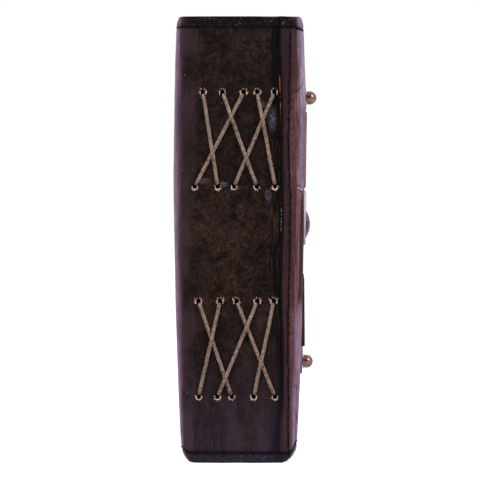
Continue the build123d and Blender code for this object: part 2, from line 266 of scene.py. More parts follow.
# Soft noise: scale, detail and roughness.
CLOUDS = {
    "wrinkle relief": (160, 6, 0.65),
    "pore relief": (2600, 3, 0.55),
    "large mottling": (26, 7, 0.62),
    "small mottling": (170, 8, 0.7),
    "pores": (900, 3, 0.65),
    "fibre patches": (38, 6, 0.66),
    "flecks": (900, 3, 0.7),
    "wear": (70, 6, 0.65),
    "edge fleck patches": (130, 3, 0.6),
    "painted_sheen": (140, 5, 0.65),
    "smoke": (110, 7, 0.7),
    "specks": (760, 1, 0.5),
    "dull border": (90, 4, 0.6),
    "torn": (900, 4, 0.7),
    "broken edge": (650, 2, 0.5),
    "brushed suede": (45, 6, 0.6),
    "nap": (1800, 4, 0.7),
    "paper stains": (30, 6, 0.6),
    "paper fibres": (1.0, 5, 0.7),
    "cord fibres": (1.0, 5, 0.65),
    "cord soil": (620, 5, 0.7),
    "patchy strand shade": (420, 4, 0.7),
    "thread twist": (1500, 4, 0.6),
    "torn fibres": (900, 5, 0.7),
    "tarnish": (260, 5, 0.55),
    "copper spots": (1500, 4, 0.6),
    "stone clouds": (90, 4, 0.5),
    "stone veins": (60, 5, 0.6),
}

# Streaks of soft noise: width, length, turn from upright in degrees, seed and detail.
STREAKS = {
    "edge streaks": (0.006, 0.0016, 0, 0.0, 4),
    "edge flecks": (0.0022, 0.0005, 8, 0.3, 4),
    "bloom wander": (0.0011, 0.03, 0, 0.2, 4),
    "fine bloom": (0.00035, 0.009, 0, 0.6, 5),
    "low clouds": (0.006, 0.03, 0, 0.4, 6),
    "turn border": (0.003, 0.012, 0, 0.5, 6),
    "seam soot": (0.0010, 0.02, 0, 0.9, 4),
    "golden": (0.0007, 0.010, 0, 1.7, 4),
    "smear": (0.0024, 0.0009, 10, 0.7, 6),
    "wrinkles": (0.0011, 0.035, 0, 0.5, 4),
    "strip": (0.0006, 0.014, 0, 0.8, 4),
}

# Shares by which one layer of a finish covers another.
SHARES = {
    "crease": 0.95,
    "edge bands": 0.92,
    "warm middle": 0.45,
    "warm all over": 0.15,
    "spine crests": 0.3,
    "fold shade": 0.15,
    "seam soot": 0.95,
    "golden": 0.75,
    "rubbed": 0.75,
    "spine edge": 0.7,
    "red": 0.5,
    "front crests": 0.5,
    "scratches": 0.3,
    "darkening": 0.45,
    "painted_stone_shade": 0.8,
    "stone bloom": 0.8,
    "outer red": 0.55,
    "pale edge": 0.5,
    "strap tip": 0.7,
}

# Relief: depth and strength.
RELIEFS = {
    "wrinkles": (0.0009, 0.5),
    "cells": (0.00025, 0.45),
    "pores": (0.00012, 0.4),
    "nap": (0.0003, 0.6),
    "paper": (0.0002, 0.5),
    "cord": (0.0004, 0.8),
    "thread": (0.0003, 0.6),
    "torn": (0.0004, 0.7),
    "copper": (0.00004, 0.25),
}

# Gloss and sheen of the finishes, and roughness of worn leather.
GLOSS = {"suede": 0.05, "paper": 0.2, "cord": 0.25, "thread": 0.05, "torn": 0.2, "stone": 0.06}
SUEDE_SHEEN = 0.08
LEATHER_GLOSS = 0.045
LEATHER_SHEEN = 0.03
SHEEN_ROUGHNESS = 0.30
SATIN = (0.42, 0.62)
FRONT_SATIN = (0.38, 0.58)
WEAR = (0.3, 0.7)
CRESTS = (0.53, 0.72)

# How fine the mottling of each leather is.
SPINE_MOTTLING = 1.4
SHADED_MOTTLING = 0.8
FRONT_MOTTLING = 1.3
TRIM_MOTTLING = 1.6

GRAIN_CELLS = 900
NOISE_MIDDLE = 0.5
STREAK_ROUGHNESS = 0.6
FIBRE_TURNS = (-65, -32, 6, 38, 80)
FIBRE_WIDTH = 0.0007
FIBRE_LENGTH = 0.0072
FIBRE_SEEDS = 0.37
FIBRE_DETAIL = 2.5
PAPER_FIBRE = (0.0004, 0.0024, 0.0024)
CORD_FIBRES_AROUND = 30
CORD_FIBRES_ALONG = 420
PAINTED_SHEEN_WANDER = 0.5
PAINTED_SHADE_WANDER = 0.02
TURN_WANDER = 0.012
TURN_BORDER = (-0.0044, 0.0006)
TURN_SHARE = 0.85
FOLD_SHADE = (-0.0016, -0.0006, 0.0002, 0.0012)
DARKENING_REACH = (-0.0075, -0.0045)
RUBBED_DEPTH = 1.0
TEAR_DEPTH = 0.006
CUT_FACE = 0.002
CUT_SIDES = (0.55, 0.95)
RING_SIDES = (0.9, 0.5)
TIP_PAINTED_SHEEN = 0.03

# Places along a sheet, as its start, its end and its number of steps: across the hides, and up them.
FRONT_COLUMNS = ((0, 1, 14), (1, 2, 36), (2, 2.16, 26), (2.16, 2.94, 32), (2.94, 3, 12))
BACK_COLUMNS = ((0, 1, 60), (1, 2, 18), (2, 2.16, 18), (2.16, 2.94, 32), (2.94, 3, 12))
TAIL_ROWS = (0, 0.05, 26)
FRONT_ROWS = (0.05, 0.955, 220)
BACK_ROWS = (0.05, 0.955, 132)
HEAD_ROWS = (0.955, 1, 22)
RIM_SHARE = 0.3
RIM_STEPS = (0.2, 0.5, 0.8)
HALF_EDGE = 0.5
TINY = 1e-9
TINIEST = 1e-12
BACK_LINING_START = 0.1
FRONT_LINING_START = 2.03

# How the hides' edges, stitch lines and faces wander: stretches of a hide's run, and waves in a metre.
TAIL_LINE_RISE = (0.97, 1.8)
HEAD_LINE_DROP = (1.0, 2.0)
TAIL_LIFT = (2.4, 2.0)
EDGE_WAVES = 60
HEAD_SEED = 5
HIDE_SEED = 40
LINING_SEED = 60
WAVES = (26, 22)
RIPPLES = (80, 70)
RIPPLE_SHARE = 0.5
WAVE_SEED = 3
RIPPLE_SEED = 9
TAIL_GROOVE = 1.5
WRINKLE_WAVES = (420, 13)
WRINKLE_SEED = 21
WRINKLE_SHARP = (0.66, 1.0)
WRINKLE_DEPTH = 0.75
BREAK_WAVES = (60, 26)
BREAK_SEED = 33
BREAKS = (-0.15, 0.35)
WRINKLE_START = (0.002, 0.005)
WRINKLE_END = (0.045, 0.02)
# The share of painted shade in stitch grooves and creases.
GROOVE_DARKNESS = 0.8
CREASE_STEPS = 24
CREASE_ENDS = 0.1
BAND_BORDER = (-0.0015, 0.001)
BAND_TURN = (1.05, 1.5)
BAND_FADING = 0.65
SEAM_GROOVE = 0.65
SEAM_WOBBLE = 0.00045
SEAM_WOBBLES = 180
SEAM_SEED = 7.0

HOLE_SIDES = 16
HOLE_RAGGED = 0.16
HOLE_SEEDS = 3.7
CUTTER_OUT = -2
CUTTER_IN = 3

LEAF_LONG = 48
LEAF_TALL = 72
LEAF_FULL = 0.82
LEAF_CORNERS = 4
DECKLE_WAVES = (0.31, 0.9)
DECKLE_SEEDS = (1.7, 2.3)
DECKLE_FINE = 0.7
DECKLE_MIDDLE = 0.55
DECKLE_SWING = 0.4

CORD_STEPS = 120
STRANDS = 3
CORD_LOBE = 0.08
CORD_STEP = 0.0005
CORD_SIDES = 18
CORD_SLACK = 0.00022
SLACK_WAVES = 5
SLACK_SEEDS = (11.0, 90)
HUMP_TOP = 0.85
DIP_REACH = 0.8

TUBE_SIDES = 7
CHANCE_STEP = 3.7
CHANCE_FILL = (0.5, 0.5)
LIP_STEPS = 26
LIP_SPREAD = math.radians(96)
HORN_STEPS = 7
HORNS = 2
HORN_UNDER_LIP = 0.5
HAIRS = 7
HAIR_STEPS = 5

SWELL_SEGMENTS = 8
SWELL_RINGS = 6
STITCH_LEAST = 0.86
STITCH_MOST = 1.08
BORDER_COLUMNS = (40, 16, 90)
BORDER_STEPS = 120
SEAM_STEPS = 120
BORDER_PROUD = 0.16
SEAM_PROUD = 0.2
INNER_SUNK = 0.1
BACK_STITCHES_START = 0.0
FRONT_STITCHES_START = 0.2
BACK_INNER_START = 0.2
BACK_STITCH_SEED = 4
FRONT_STITCH_SEED = 5

MERGE_REACH = 1e-6
FLAT_ANGLE = math.radians(1)
ROUND_ANGLE = math.radians(50)
SHARP_ANGLE = math.radians(40)
ROUND_STEPS = 3

KEY_PLACE = (-1.1, -1.3)
FILL_PLACE = (1.3, -1.0)
FILL_HEIGHT = 0.8
CLIP_START = 0.05
DIM_SIDE = (-0.95, -0.1)
WHITE = (1, 1, 1)

SCREEN_FULL = 255
SCREEN_KNEE = 0.04045
SCREEN_STRAIGHT = 12.92
SCREEN_LIFT = 0.055
SCREEN_POWER = 2.4

# The sockets of a colour mix node.
MIX_SHARE = 0
MIX_FIRST = 6
MIX_SECOND = 7
MIX_RESULT = 2

SWELL_RADIUS = 0.5
AXIS_ACROSS = 0
AXIS_UP = 2

# Torn rims of the holes. A pair is a middle value and how far chance moves it.
LIP_SPREADS = (0.85, 0.8)
LIP_TILT = 1.5
LIP_RAGS = 16
LIP_WIDE = (1.14, 0.3)
LIP_TALL = (0.92, 0.24)
LIP_LIFT = (0.15, 0.6)
LIP_STOUT = (0.95, 0.8)
LIP_TAPER = (0.3, 0.75)
LIP_FULLNESS = 0.7
LIP_UNEVEN = 1.4
LIP_STAIN = 1.6
LIP_DARKEST = 0.8
LIP_ROOT = 0.9
HORN_PLACES = 5
HORN_LONG = (0.8, 0.9)
HORN_SPREAD = (0.3, 0.8)
HORN_BOW = 0.2
HORN_FOOT = 0.98
HORN_DROP = 0.0014
HORN_RISE = 0.0011
HORN_OUT = (0.0001, 0.0007)
HORN_STOUT = (0.8, 0.8)
HORN_TAPER = 0.85
HORN_POINT = 1.2
HORN_ROOT = 0.8
HAIR_TURN = 0.7
HAIR_LONG = (0.5, 0.9)
HAIR_BEND = 1.5
HAIR_FOOT = 0.9
HAIR_LIFT = 0.0002
HAIR_OUT = 0.3
HAIR_TAPER = 0.75
HAIR_ROOT = 0.4


def shade(red, green, blue):
    """A colour as it looks on screen, from 0 to 255, turned to the linear values that shaders use."""
    linear = []
    for value in (red, green, blue):
        part = value / SCREEN_FULL
        curved = ((part + SCREEN_LIFT) / (1 + SCREEN_LIFT)) ** SCREEN_POWER
        linear.append(part / SCREEN_STRAIGHT if part <= SCREEN_KNEE else curved)
    return tuple(linear)


def length(name, description, default):
    """A length that a user would change."""
    return FloatProperty(name=name, description=description, default=default, unit="LENGTH", precision=5)


def amount(name, description, default):
    """A plain number that a user would change."""
    return FloatProperty(name=name, description=description, default=default)


def colour(name, description, default):
    """A colour that a user would change."""
    return FloatVectorProperty(name=name, description=description, default=default,
                               subtype="COLOR", min=0, max=1)


class JournalSizes(bpy.types.PropertyGroup):
    """The sizes of the journal's dress."""

    leather: length("Leather", "Thickness of the hides", 0.0020)
    lining: length("Lining", "Thickness of the lining", 0.0012)
    lining_setback: length("Lining setback", "How far the lining stops short of the leather's edges", 0.0010)
    rivet_show: length("Rivet show", "How far the studs' inner ends stand out of the lining", 0.0002)
    layer_gap: length("Layer gap", "Room between the leather and its lining", 0.0001)
    fullest_height: length("Fullest height", "Height where the closed case is thickest", 0.165)
    tail_taper: length("Tail taper", "How much each side draws in down to the tail", 0.0048)
    head_taper: length("Head taper", "How much each side draws in up to the head", 0.0020)
    tail_curl_height: length("Tail curl height", "Height of the curled edge at the tail", 0.010)
    tail_curl_radius: length("Tail curl radius", "Radius of the curled edge at the tail", 0.0136)
    head_curl_height: length("Head curl height", "Height of the curled edge at the head", 0.006)
    head_curl_radius: length("Head curl radius", "Radius of the curled edge at the head", 0.013)
    flare: FloatProperty(name="Flare", default=math.radians(0.9), subtype="ANGLE",
                         description="Angle at which the front cover opens out to its fore-edge")
    back_flat: length("Back flat", "Half width of the spine's flat towards the back cover", 0.028)
    front_flat: length("Front flat", "Half width of the spine's flat towards the front cover", 0.029)
    seam_edge: length("Seam edge", "Where the front hide is cut off on the spine, from its middle", 0.024)
    lap_setback: length("Lap setback", "How far the spine hide stops short of the front turn", 0.0003)
    cover_corner: length("Cover corner", "Radius of a cover's corners at the fore-edge", 0.009)
    front_swell: length("Front swell", "How far the front turn bulges above the stone", 0.0011)
    swell_start: length("Swell start", "Height where that bulge begins", 0.155)
    swell_full: length("Swell full", "Height where that bulge is full", 0.190)
    swell_depth: length("Swell depth", "How far back on the cover that bulge has died away", 0.055)
    corner_tuck: length("Corner tuck", "How far the front turn is drawn in at the tail", 0.0026)
    corner_height: length("Corner height", "Height of that drawn-in corner", 0.010)
    front_tail_lift: length("Front tail lift", "How far the front hide's tail stands off the floor", 0.0008)
    edge_wave: length("Edge wave", "How far the head and tail edges wander", 0.0003)
    hide_wave: length("Hide wave", "How far the hides stand proud or sink", 0.00022)
    crease_depth: length("Crease depth", "Depth of the creases in the front turn", 0.00042)
    crease_width: length("Crease width", "Half width of those creases", 0.0006)
    stitch_sink: length("Stitch sink", "Depth of the groove that the stitches draw into the leather", 0.00038)
    stitch_width: length("Stitch groove", "Half width of the groove along the stitches", 0.0009)
    tail_line: length("Tail stitch line", "Height of the stitches above the tail", 0.0058)
    head_line: length("Head stitch line", "Distance of the stitches from the head", 0.0062)
    back_line_rise: length("Back line rise", "How far the tail stitches rise round the back turn", 0.0030)
    front_line_rise: length("Front line rise", "How far the tail stitches rise round the front turn", 0.0066)
    head_line_drop: length("Head line drop", "How far the head stitches drop round a turn", 0.0018)
    fore_line: length("Fore stitch line", "Distance of the stitches from the fore-edge", 0.0055)
    seam_line: length("Seam stitch line", "Distance of the seam's stitches from its cut edge", 0.0044)
    stitch: length("Stitch", "Length of one stitch", 0.0048)
    stitch_pitch: length("Stitch pitch", "Distance from one stitch to the next", 0.0052)
    thread: length("Thread", "Thickness of the sewing thread", 0.0009)
    cord: length("Cord", "Thickness of the lacing cord", 0.00206)
    cord_lift: length("Cord lift", "Room between a cord and the leather", 0.0001)
    cord_twist: amount("Cord twist", "Turns of the cord's strands for each metre", 150)
    hump: length("Hump", "How far a cord rises to pass over another", 0.0023)
    hump_reach: length("Hump reach", "How far before a crossing a cord starts to rise", 0.0075)
    hole: length("Hole", "Width of a lacing hole", 0.0027)
    hole_height: length("Hole height", "Height of a lacing hole", 0.0040)
    hole_reach: length("Hole reach", "How deep a cord's end goes into its hole", 0.0030)
    cord_short: length("Cord short", "How far a cord goes in short of its hole's middle", 0.0019)
    lip: length("Lip", "Thickness of the pale torn lip under a hole", 0.0007)
    horn: length("Horn", "Length of the torn points beside a hole", 0.0026)
    small_horn: length("Small horn", "Length of those points round the upper lacing", 0.0018)
    hair: length("Hair", "Length of the loose fibres round a hole", 0.0015)
    hair_width: length("Hair width", "Thickness of those fibres at their roots", 0.00026)
    upper_top: length("Upper top row", "Height of the upper lacing's top row of holes", 0.2110)
    upper_bottom: length("Upper bottom row", "Height of the upper lacing's bottom row of holes", 0.1578)
    lower_top: length("Lower top row", "Height of the lower lacing's top row of holes", 0.0923)
    lower_bottom: length("Lower bottom row", "Height of the lower lacing's bottom row of holes", 0.0382)
    leaf_deckle: length("Deckle", "How far the ragged edges of the leaves wander", 0.0011)
    page_gap: length("Page gap", "Room between the leaves and the linings", 0.0004)
    leaf_start: length("Leaf start", "Where the cut leaves begin behind the spine", 0.012)
    leaf_tuck: length("Leaf tuck", "How far each leaf's edge runs into the block", 0.0020)
    trim_edge: length("Trim edge", "Rounding of the edges of straps and overlays", 0.0005)
    leaves: IntProperty(name="Leaves", description="Leaves that show at the edges of the block", default=66)


class JournalColours(bpy.types.PropertyGroup):
    """The colours of the journal's finishes."""

    spine_brown: colour("Spine brown", "Leather of the spine", shade(27, 19, 17))
    spine_light: colour("Spine light", "Light mottling of the spine", shade(52, 41, 43))
    spine_dark: colour("Spine dark", "Dark mottling of the spine", shade(12, 9, 9))
    spine_worn: colour("Spine worn", "Warm rubbed patches of the spine", shade(92, 57, 38))
    # Spine low and back low are lilac tints that grow towards the tail.
    spine_low: colour("Spine low", "Bloom towards the tail", shade(58, 45, 60))
    back_brown: colour("Back brown", "Leather of the back cover and its turn", shade(84, 58, 68))
    # The next colour is the back turn's dark mottling and its painted shade where the turn begins.
    back_dark: colour("Back dark", "Leather where the back turn begins", shade(58, 43, 49))
    back_low: colour("Back low", "Bloom of the back turn towards the tail", shade(67, 54, 66))
    edge_black: colour("Edge black", "Blackened leather along the edges", shade(8, 7, 9))
    tail_black: colour("Tail black", "Blackened leather along the tail", shade(39, 34, 49))
    front_brown: colour("Front brown", "Leather of the front cover", shade(74, 48, 48))
    front_dark: colour("Front dark", "Dark mottling of the front cover", shade(46, 32, 35))
    front_red: colour("Front red", "Rubbed, reddish parts of the front cover", shade(114, 70, 68))
    # The next colour is painted shade on the front turn beside the stone.
    front_painted_shade: colour("Front wine", "Dull part of the front turn beside the stone", shade(54, 32, 37))
    # The next colour is near black: painted shade in creases and grooves, and the dark of the thread's twist
    # and the lining's hidden side.
    crease_dark: colour("Crease", "Bottom of a crease or groove", shade(13, 10, 13))
    # The next three colours are painted sheen: lilac and reddish colour laid on the leather's turns where
    # light glances off them.
    painted_sheen: colour("Lilac", "Glancing bloom on the leather's turns", shade(164, 136, 165))
    pale_painted_sheen: colour("Pale bloom", "Bloom on the front turn near the head", shade(190, 166, 196))
    flush: colour("Flush", "Reddish bloom of the front turn beside the stone", shade(152, 108, 126))
    strip_dark: colour("Strip", "Front hide between its cut edge and its stitches", shade(42, 31, 37))
    rubbed: colour("Rubbed", "Grey rubbed places of the spine", shade(104, 98, 110))
    raw_orange: colour("Raw edge", "Bare cut edge of the front hide", shade(205, 105, 28))
    raw_pale: colour("Torn leather", "Torn fibres round the holes", shade(236, 200, 184))
    sheen: colour("Sheen", "Tint of the light that glances off the leather", shade(205, 178, 214))
    cord_pale: colour("Cord pale", "Waxed cord in the light", shade(216, 184, 167))
    cord_dark: colour("Cord dark", "Waxed cord between its fibres", shade(72, 56, 46))
    thread: colour("Thread", "Waxed sewing thread", shade(17, 14, 17))
    lining: colour("Lining", "Suede side of the lining", shade(96, 68, 54))
    lining_dark: colour("Lining dark", "Nap of the lining brushed the other way", shade(66, 45, 37))
    paper: colour("Paper", "Handmade leaves", shade(226, 214, 190))
    paper_edge: colour("Paper edge", "Ragged edges of the leaves", shade(196, 178, 148))
    overlay: colour("Overlay", "Leather overlays of the front cover", shade(112, 62, 60))
    overlay_dark: colour("Overlay dark", "Dark mottling of the overlays", shade(70, 38, 40))
    strap: colour("Strap", "Leather of the straps and the stone's ring", shade(116, 80, 76))
    strap_dark: colour("Strap dark", "Dark mottling of the straps", shade(78, 53, 52))
    strap_edge: colour("Strap edge", "Bare cut edges of the upper strap", shade(196, 158, 150))
    strap_edge_low: colour("Lower strap edge", "Cut edges of the lower strap", shade(128, 92, 98))
    # The next colour is near white: the ring's cut edge with a painted highlight on it.
    ring_edge_highlight: colour("Ring edge", "Bare cut edge of the stone's ring", shade(252, 234, 238))
    metal: colour("Metal", "Aged copper of the studs", shade(140, 107, 102))
    metal_dark: colour("Metal dark", "Tarnish of the studs", shade(64, 40, 36))
    stone: colour("Stone", "Polished stone", shade(114, 54, 116))
    stone_pale: colour("Stone pale", "Veins of the stone", shade(158, 110, 160))
    stone_dark: colour("Stone dark", "Clouds of the stone", shade(72, 32, 80))


class JournalStage(bpy.types.PropertyGroup):
    """The floor, the light and the camera."""

    camera_distance: length("Camera distance", "From the spine to the camera", 1.6)
    camera_height: length("Camera height", "Height of the camera", 0.200)
    aim_height: length("Aim height", "Height of the middle of the picture", 0.1273)
    aim_side: length("Aim side", "How far the picture's middle lies to the right of the spine's", 0.0006)
    picture_width: length("Picture width", "Width that the picture takes in at the spine", 0.2724)
    sensor: amount("Sensor", "Width of the camera's sensor in millimetres", 36)
    floor: length("Floor", "Width of the floor", 6)
    floor_white: amount("Floor white", "Plain white that the floor has in shadow", 0.86)
    floor_grey: amount("Floor grey", "How much the floor takes of the light", 0.5)
    light_height: length("Light height", "Height of the soft lights", 1.3)
    light_size: length("Light size", "Width of the soft lights", 1.1)
    key_power: amount("Key", "Power of the light from the left in watts", 26)
    fill_power: amount("Fill", "Power of the light from the right in watts", 20)
    surround: amount("Surround", "Strength of the light from the sides and behind", 0.6)
    viewer_side: amount("Viewer's side", "Share of that light on the viewer's side", 0.15)


def size():
    return bpy.context.scene.journal_sizes


def hue():
    return bpy.context.scene.journal_colours


def stage():
    return bpy.context.scene.journal_stage


# The form of the case.


def barrel_arc(rise, taper):
    """Across, up and radius of the arc by which a side draws in by its taper over a rise."""
    radius = (rise ** 2 + taper ** 2) / (2 * taper)
    return half_thickness - radius, size().fullest_height, radius


def curl_arc(arc, z, radius):
    """The smaller arc that goes on smoothly from another at a height."""
    across, up, old = arc
    drop = z - up
    share = (old - radius) / old
    return across + share * math.sqrt(old ** 2 - drop ** 2), up + share * drop, radius


def arc_width(arc, z):
    across, up, radius = arc
    return across + np.sqrt(np.maximum(radius ** 2 - (z - up) ** 2, 0))


def barrel_width(z):
    """Half the case's thickness at a height, without the curled edges."""
    fullest = size().fullest_height
    low = arc_width(barrel_arc(fullest, size().tail_taper), z)
    high = arc_width(barrel_arc(cover_height - fullest, size().head_taper), z)
    return np.where(z < fullest, low, high)


def case_width(z):
    """Half the case's thickness at a height."""
    fullest = size().fullest_height
    tail_top = size().tail_curl_height
    head_bottom = cover_height - size().head_curl_height
    low = barrel_arc(fullest, size().tail_taper)
    high = barrel_arc(cover_height - fullest, size().head_taper)
    tail = curl_arc(low, tail_top, size().tail_curl_radius)
    head = curl_arc(high, head_bottom, size().head_curl_radius)
    width = np.where(z < tail_top, arc_width(tail, z), barrel_width(z))
    return np.where(z > head_bottom, arc_width(head, z), width)


def lean(side, y):
    """How far a cover has opened out at a depth: only the front one does."""
    if side == BACK:
        return 0 * y
    return np.maximum(y - fold_depth, 0) * math.tan(size().flare)


def seam_stray(z, column):
    """How far the seam's cut edge or its stitches stray at a height."""
    heights = [row[0] * MM for row in SEAM_STRAYS]
    return np.interp(z, heights, [row[column] * MM for row in SEAM_STRAYS])


def seam_stitches(z):
    """Where the seam's stitches run on the spine."""
    wobble = SEAM_WOBBLE * ripple(z * SEAM_WOBBLES, z * 0, SEAM_SEED)
    return size().seam_edge + size().seam_line + seam_stray(z, 2) + wobble


def hide_free_edge(side, curl, z):
    """Where a hide begins on the spine, towards its own side."""
    if side == FRONT:
        return size().seam_edge + seam_stray(z, 1)
    return curl + size().lap_setback - size().front_flat


def soft_shift(side, y, z):
    """How far the front hide's turn bulges out above the stone and draws in at its tail corner."""
    if side == BACK:
        return 0 * z
    near = 1 - ease(y, fold_depth, size().swell_depth)
    swell = size().front_swell * ease(z, size().swell_start, size().swell_full)
    tuck = size().corner_tuck * (1 - np.clip(z / size().corner_height, 0, 1)) ** 2
    return (swell - tuck) * near


def tail_line(side, run):
    """Height of the stitches along a hide's tail, which rise round its turn."""
    rise = size().front_line_rise if side == FRONT else size().back_line_rise
    return size().tail_line + rise * ease(run, *TAIL_LINE_RISE)


def head_line(side, run):
    """Height of the stitches along a hide's head, which drop round the front turn."""
    drop = size().head_line_drop if side == FRONT else 0
    return cover_height - size().head_line - drop * ease(run, *HEAD_LINE_DROP)


def hide_point(side, run, z, inset):
    """Points on a hide by their run: 0 to 1 on the spine, to 2 in the turn, and to 3 on the cover."""
    width = case_width(z)
    curl = barrel_width(z) - width
    flat = (size().front_flat if side == FRONT else size().back_flat) - curl
    face = -lap_rise if side == FRONT else 0
    turn = width - flat
    free = hide_free_edge(side, curl, z)
    angle = np.clip(run - 1, 0, 1) * math.pi / 2
    spine_x = free + (flat - free) * np.clip(run, 0, 1)
    turned_x = flat + (turn - inset) * np.sin(angle)
    turned_y = face + turn - (turn - inset) * np.cos(angle)
    cover_y = face + turn + (cover_depth - face - turn) * np.clip(run - 2, 0, 1)
    x = np.where(run <= 1, spine_x, np.where(run <= 2, turned_x, width - inset + lean(side, cover_y)))
    y = np.where(run <= 1, face + inset, np.where(run <= 2, turned_y, cover_y))
    x = x + soft_shift(side, y, z) * np.clip(run - 1, 0, 1)
    return np.stack([side * x, y, z], axis=-1)


def in_frame(points):
    """Points of the case in the frame's own coordinates."""
    return points + np.array([middle_x, spine_y, 0])


def ripple(u, v, seed):
    """Smooth noise at each pair of surface coordinates."""
    pairs = zip(u.ravel(), v.ravel())
    return np.array([noise.noise(Vector((a, b, seed))) for a, b in pairs]).reshape(u.shape)


def ease(value, low, high):
    """0 below low, 1 above high and smooth between."""
    share = np.clip((value - low) / (high - low), 0, 1)
    return share * share * (3 - 2 * share)


def bell(distance, width):
    """1 at no distance, dying away over a width."""
    return np.exp(-(distance / width) ** 2)


def steps(*stretches):
    """Places along a line: each stretch is its start, its end and its number of steps."""
    runs = [np.linspace(start, end, count, endpoint=False) for start, end, count in stretches]
    return np.concatenate(runs + [[stretches[-1][1]]])


# Meshes and objects.


def new_object(name, mesh, material=None):
    piece = bpy.data.objects.new(name, mesh)
    bpy.context.scene.collection.objects.link(piece)
    if material:
        mesh.materials.clear()
        mesh.materials.append(material)
    return piece


def mesh_from(name, points, faces, attributes=None):
    """A smooth mesh whose faces all point outwards."""
    mesh = bpy.data.meshes.new(name)
    mesh.from_pydata([tuple(point) for point in points], [], faces)
    for key, values in (attributes or {}).items():
        layer = mesh.attributes.new(key, "FLOAT", "POINT")
        layer.data.foreach_set("value", np.asarray(values, np.float32))
    work = bmesh.new()
    work.from_mesh(mesh)
    bmesh.ops.recalc_face_normals(work, faces=work.faces)
    work.to_mesh(mesh)
    work.free()
    mesh.polygons.foreach_set("use_smooth", [True] * len(mesh.polygons))
    mesh.update()
    return mesh


def rim_loop(columns, rows):
    """The edge of a grid, in order, as pairs of column and row."""
    loop = [(i, 0) for i in range(columns)]
    loop += [(columns - 1, j) for j in range(1, rows)]
    loop += [(i, rows - 1) for i in range(columns - 2, -1, -1)]
    loop += [(0, j) for j in range(rows - 2, 0, -1)]
    return loop


def sheet_mesh(name, outer, inner, marks, bulge):
    """A closed sheet between two grids of points, with a rounded edge all round."""
    columns, rows = outer.shape[:2]
    count = columns * rows
    number = np.arange(count).reshape(columns, rows)
    corners = [number[:-1, :-1], number[1:, :-1], number[1:, 1:], number[:-1, 1:]]
    quads = np.stack(corners, axis=-1).reshape(-1, 4)
    faces = quads.tolist() + (quads[:, ::-1] + count).tolist()
    points = [outer.reshape(-1, 3), inner.reshape(-1, 3)]
    loop = rim_loop(columns, rows)
    at = tuple(np.array(loop).T)
    inside = (np.clip(at[0], 1, columns - 2), np.clip(at[1], 1, rows - 2))
    outward = outer[at] - outer[inside]
    outward /= np.maximum(np.linalg.norm(outward, axis=1, keepdims=True), TINY)
    rings = [number[at]]
    for index, share in enumerate(RIM_STEPS):
        swell = bulge * math.sin(math.pi * share)
        points.append(outer[at] * (1 - share) + inner[at] * share + outward * swell)
        rings.append(2 * count + index * len(loop) + np.arange(len(loop)))
    rings.append(number[at] + count)
    for first, second in zip(rings, rings[1:]):
        faces += np.stack([first, np.roll(first, -1), np.roll(second, -1), second], axis=-1).tolist()
    edge = np.zeros(2 * count + len(RIM_STEPS) * len(loop))
    edge[number[at]] = HALF_EDGE
    edge[number[at] + count] = HALF_EDGE
    edge[2 * count:] = 1
    outside = np.zeros(len(edge))
    outside[:count] = 1
    attributes = {"edge": edge, "outside": outside}
    for key, values in marks.items():
        attributes[key] = np.concatenate([values.ravel(), values.ravel()] + [values[at]] * len(RIM_STEPS))
    return mesh_from(name, in_frame(np.concatenate(points)), faces, attributes)


# Finishes.


def put(tree, value, socket):
    """Sets a socket, or links another node's output to it."""
    if isinstance(value, bpy.types.NodeSocket):
        tree.links.new(value, socket)
    elif socket.type == "RGBA":
        socket.default_value = (*value, 1)
    else:
        socket.default_value = value


def add(tree, kind, inputs, **settings):
    """A node with its settings, and with its inputs set or linked."""
    node = tree.nodes.new(kind)
    for key, value in settings.items():
        setattr(node, key, value)
    for key, value in inputs.items():
        put(tree, value, node.inputs[key])
    return node


def tree_math(tree, operation, first, second):
    return add(tree, "ShaderNodeMath", {0: first, 1: second}, operation=operation).outputs[0]


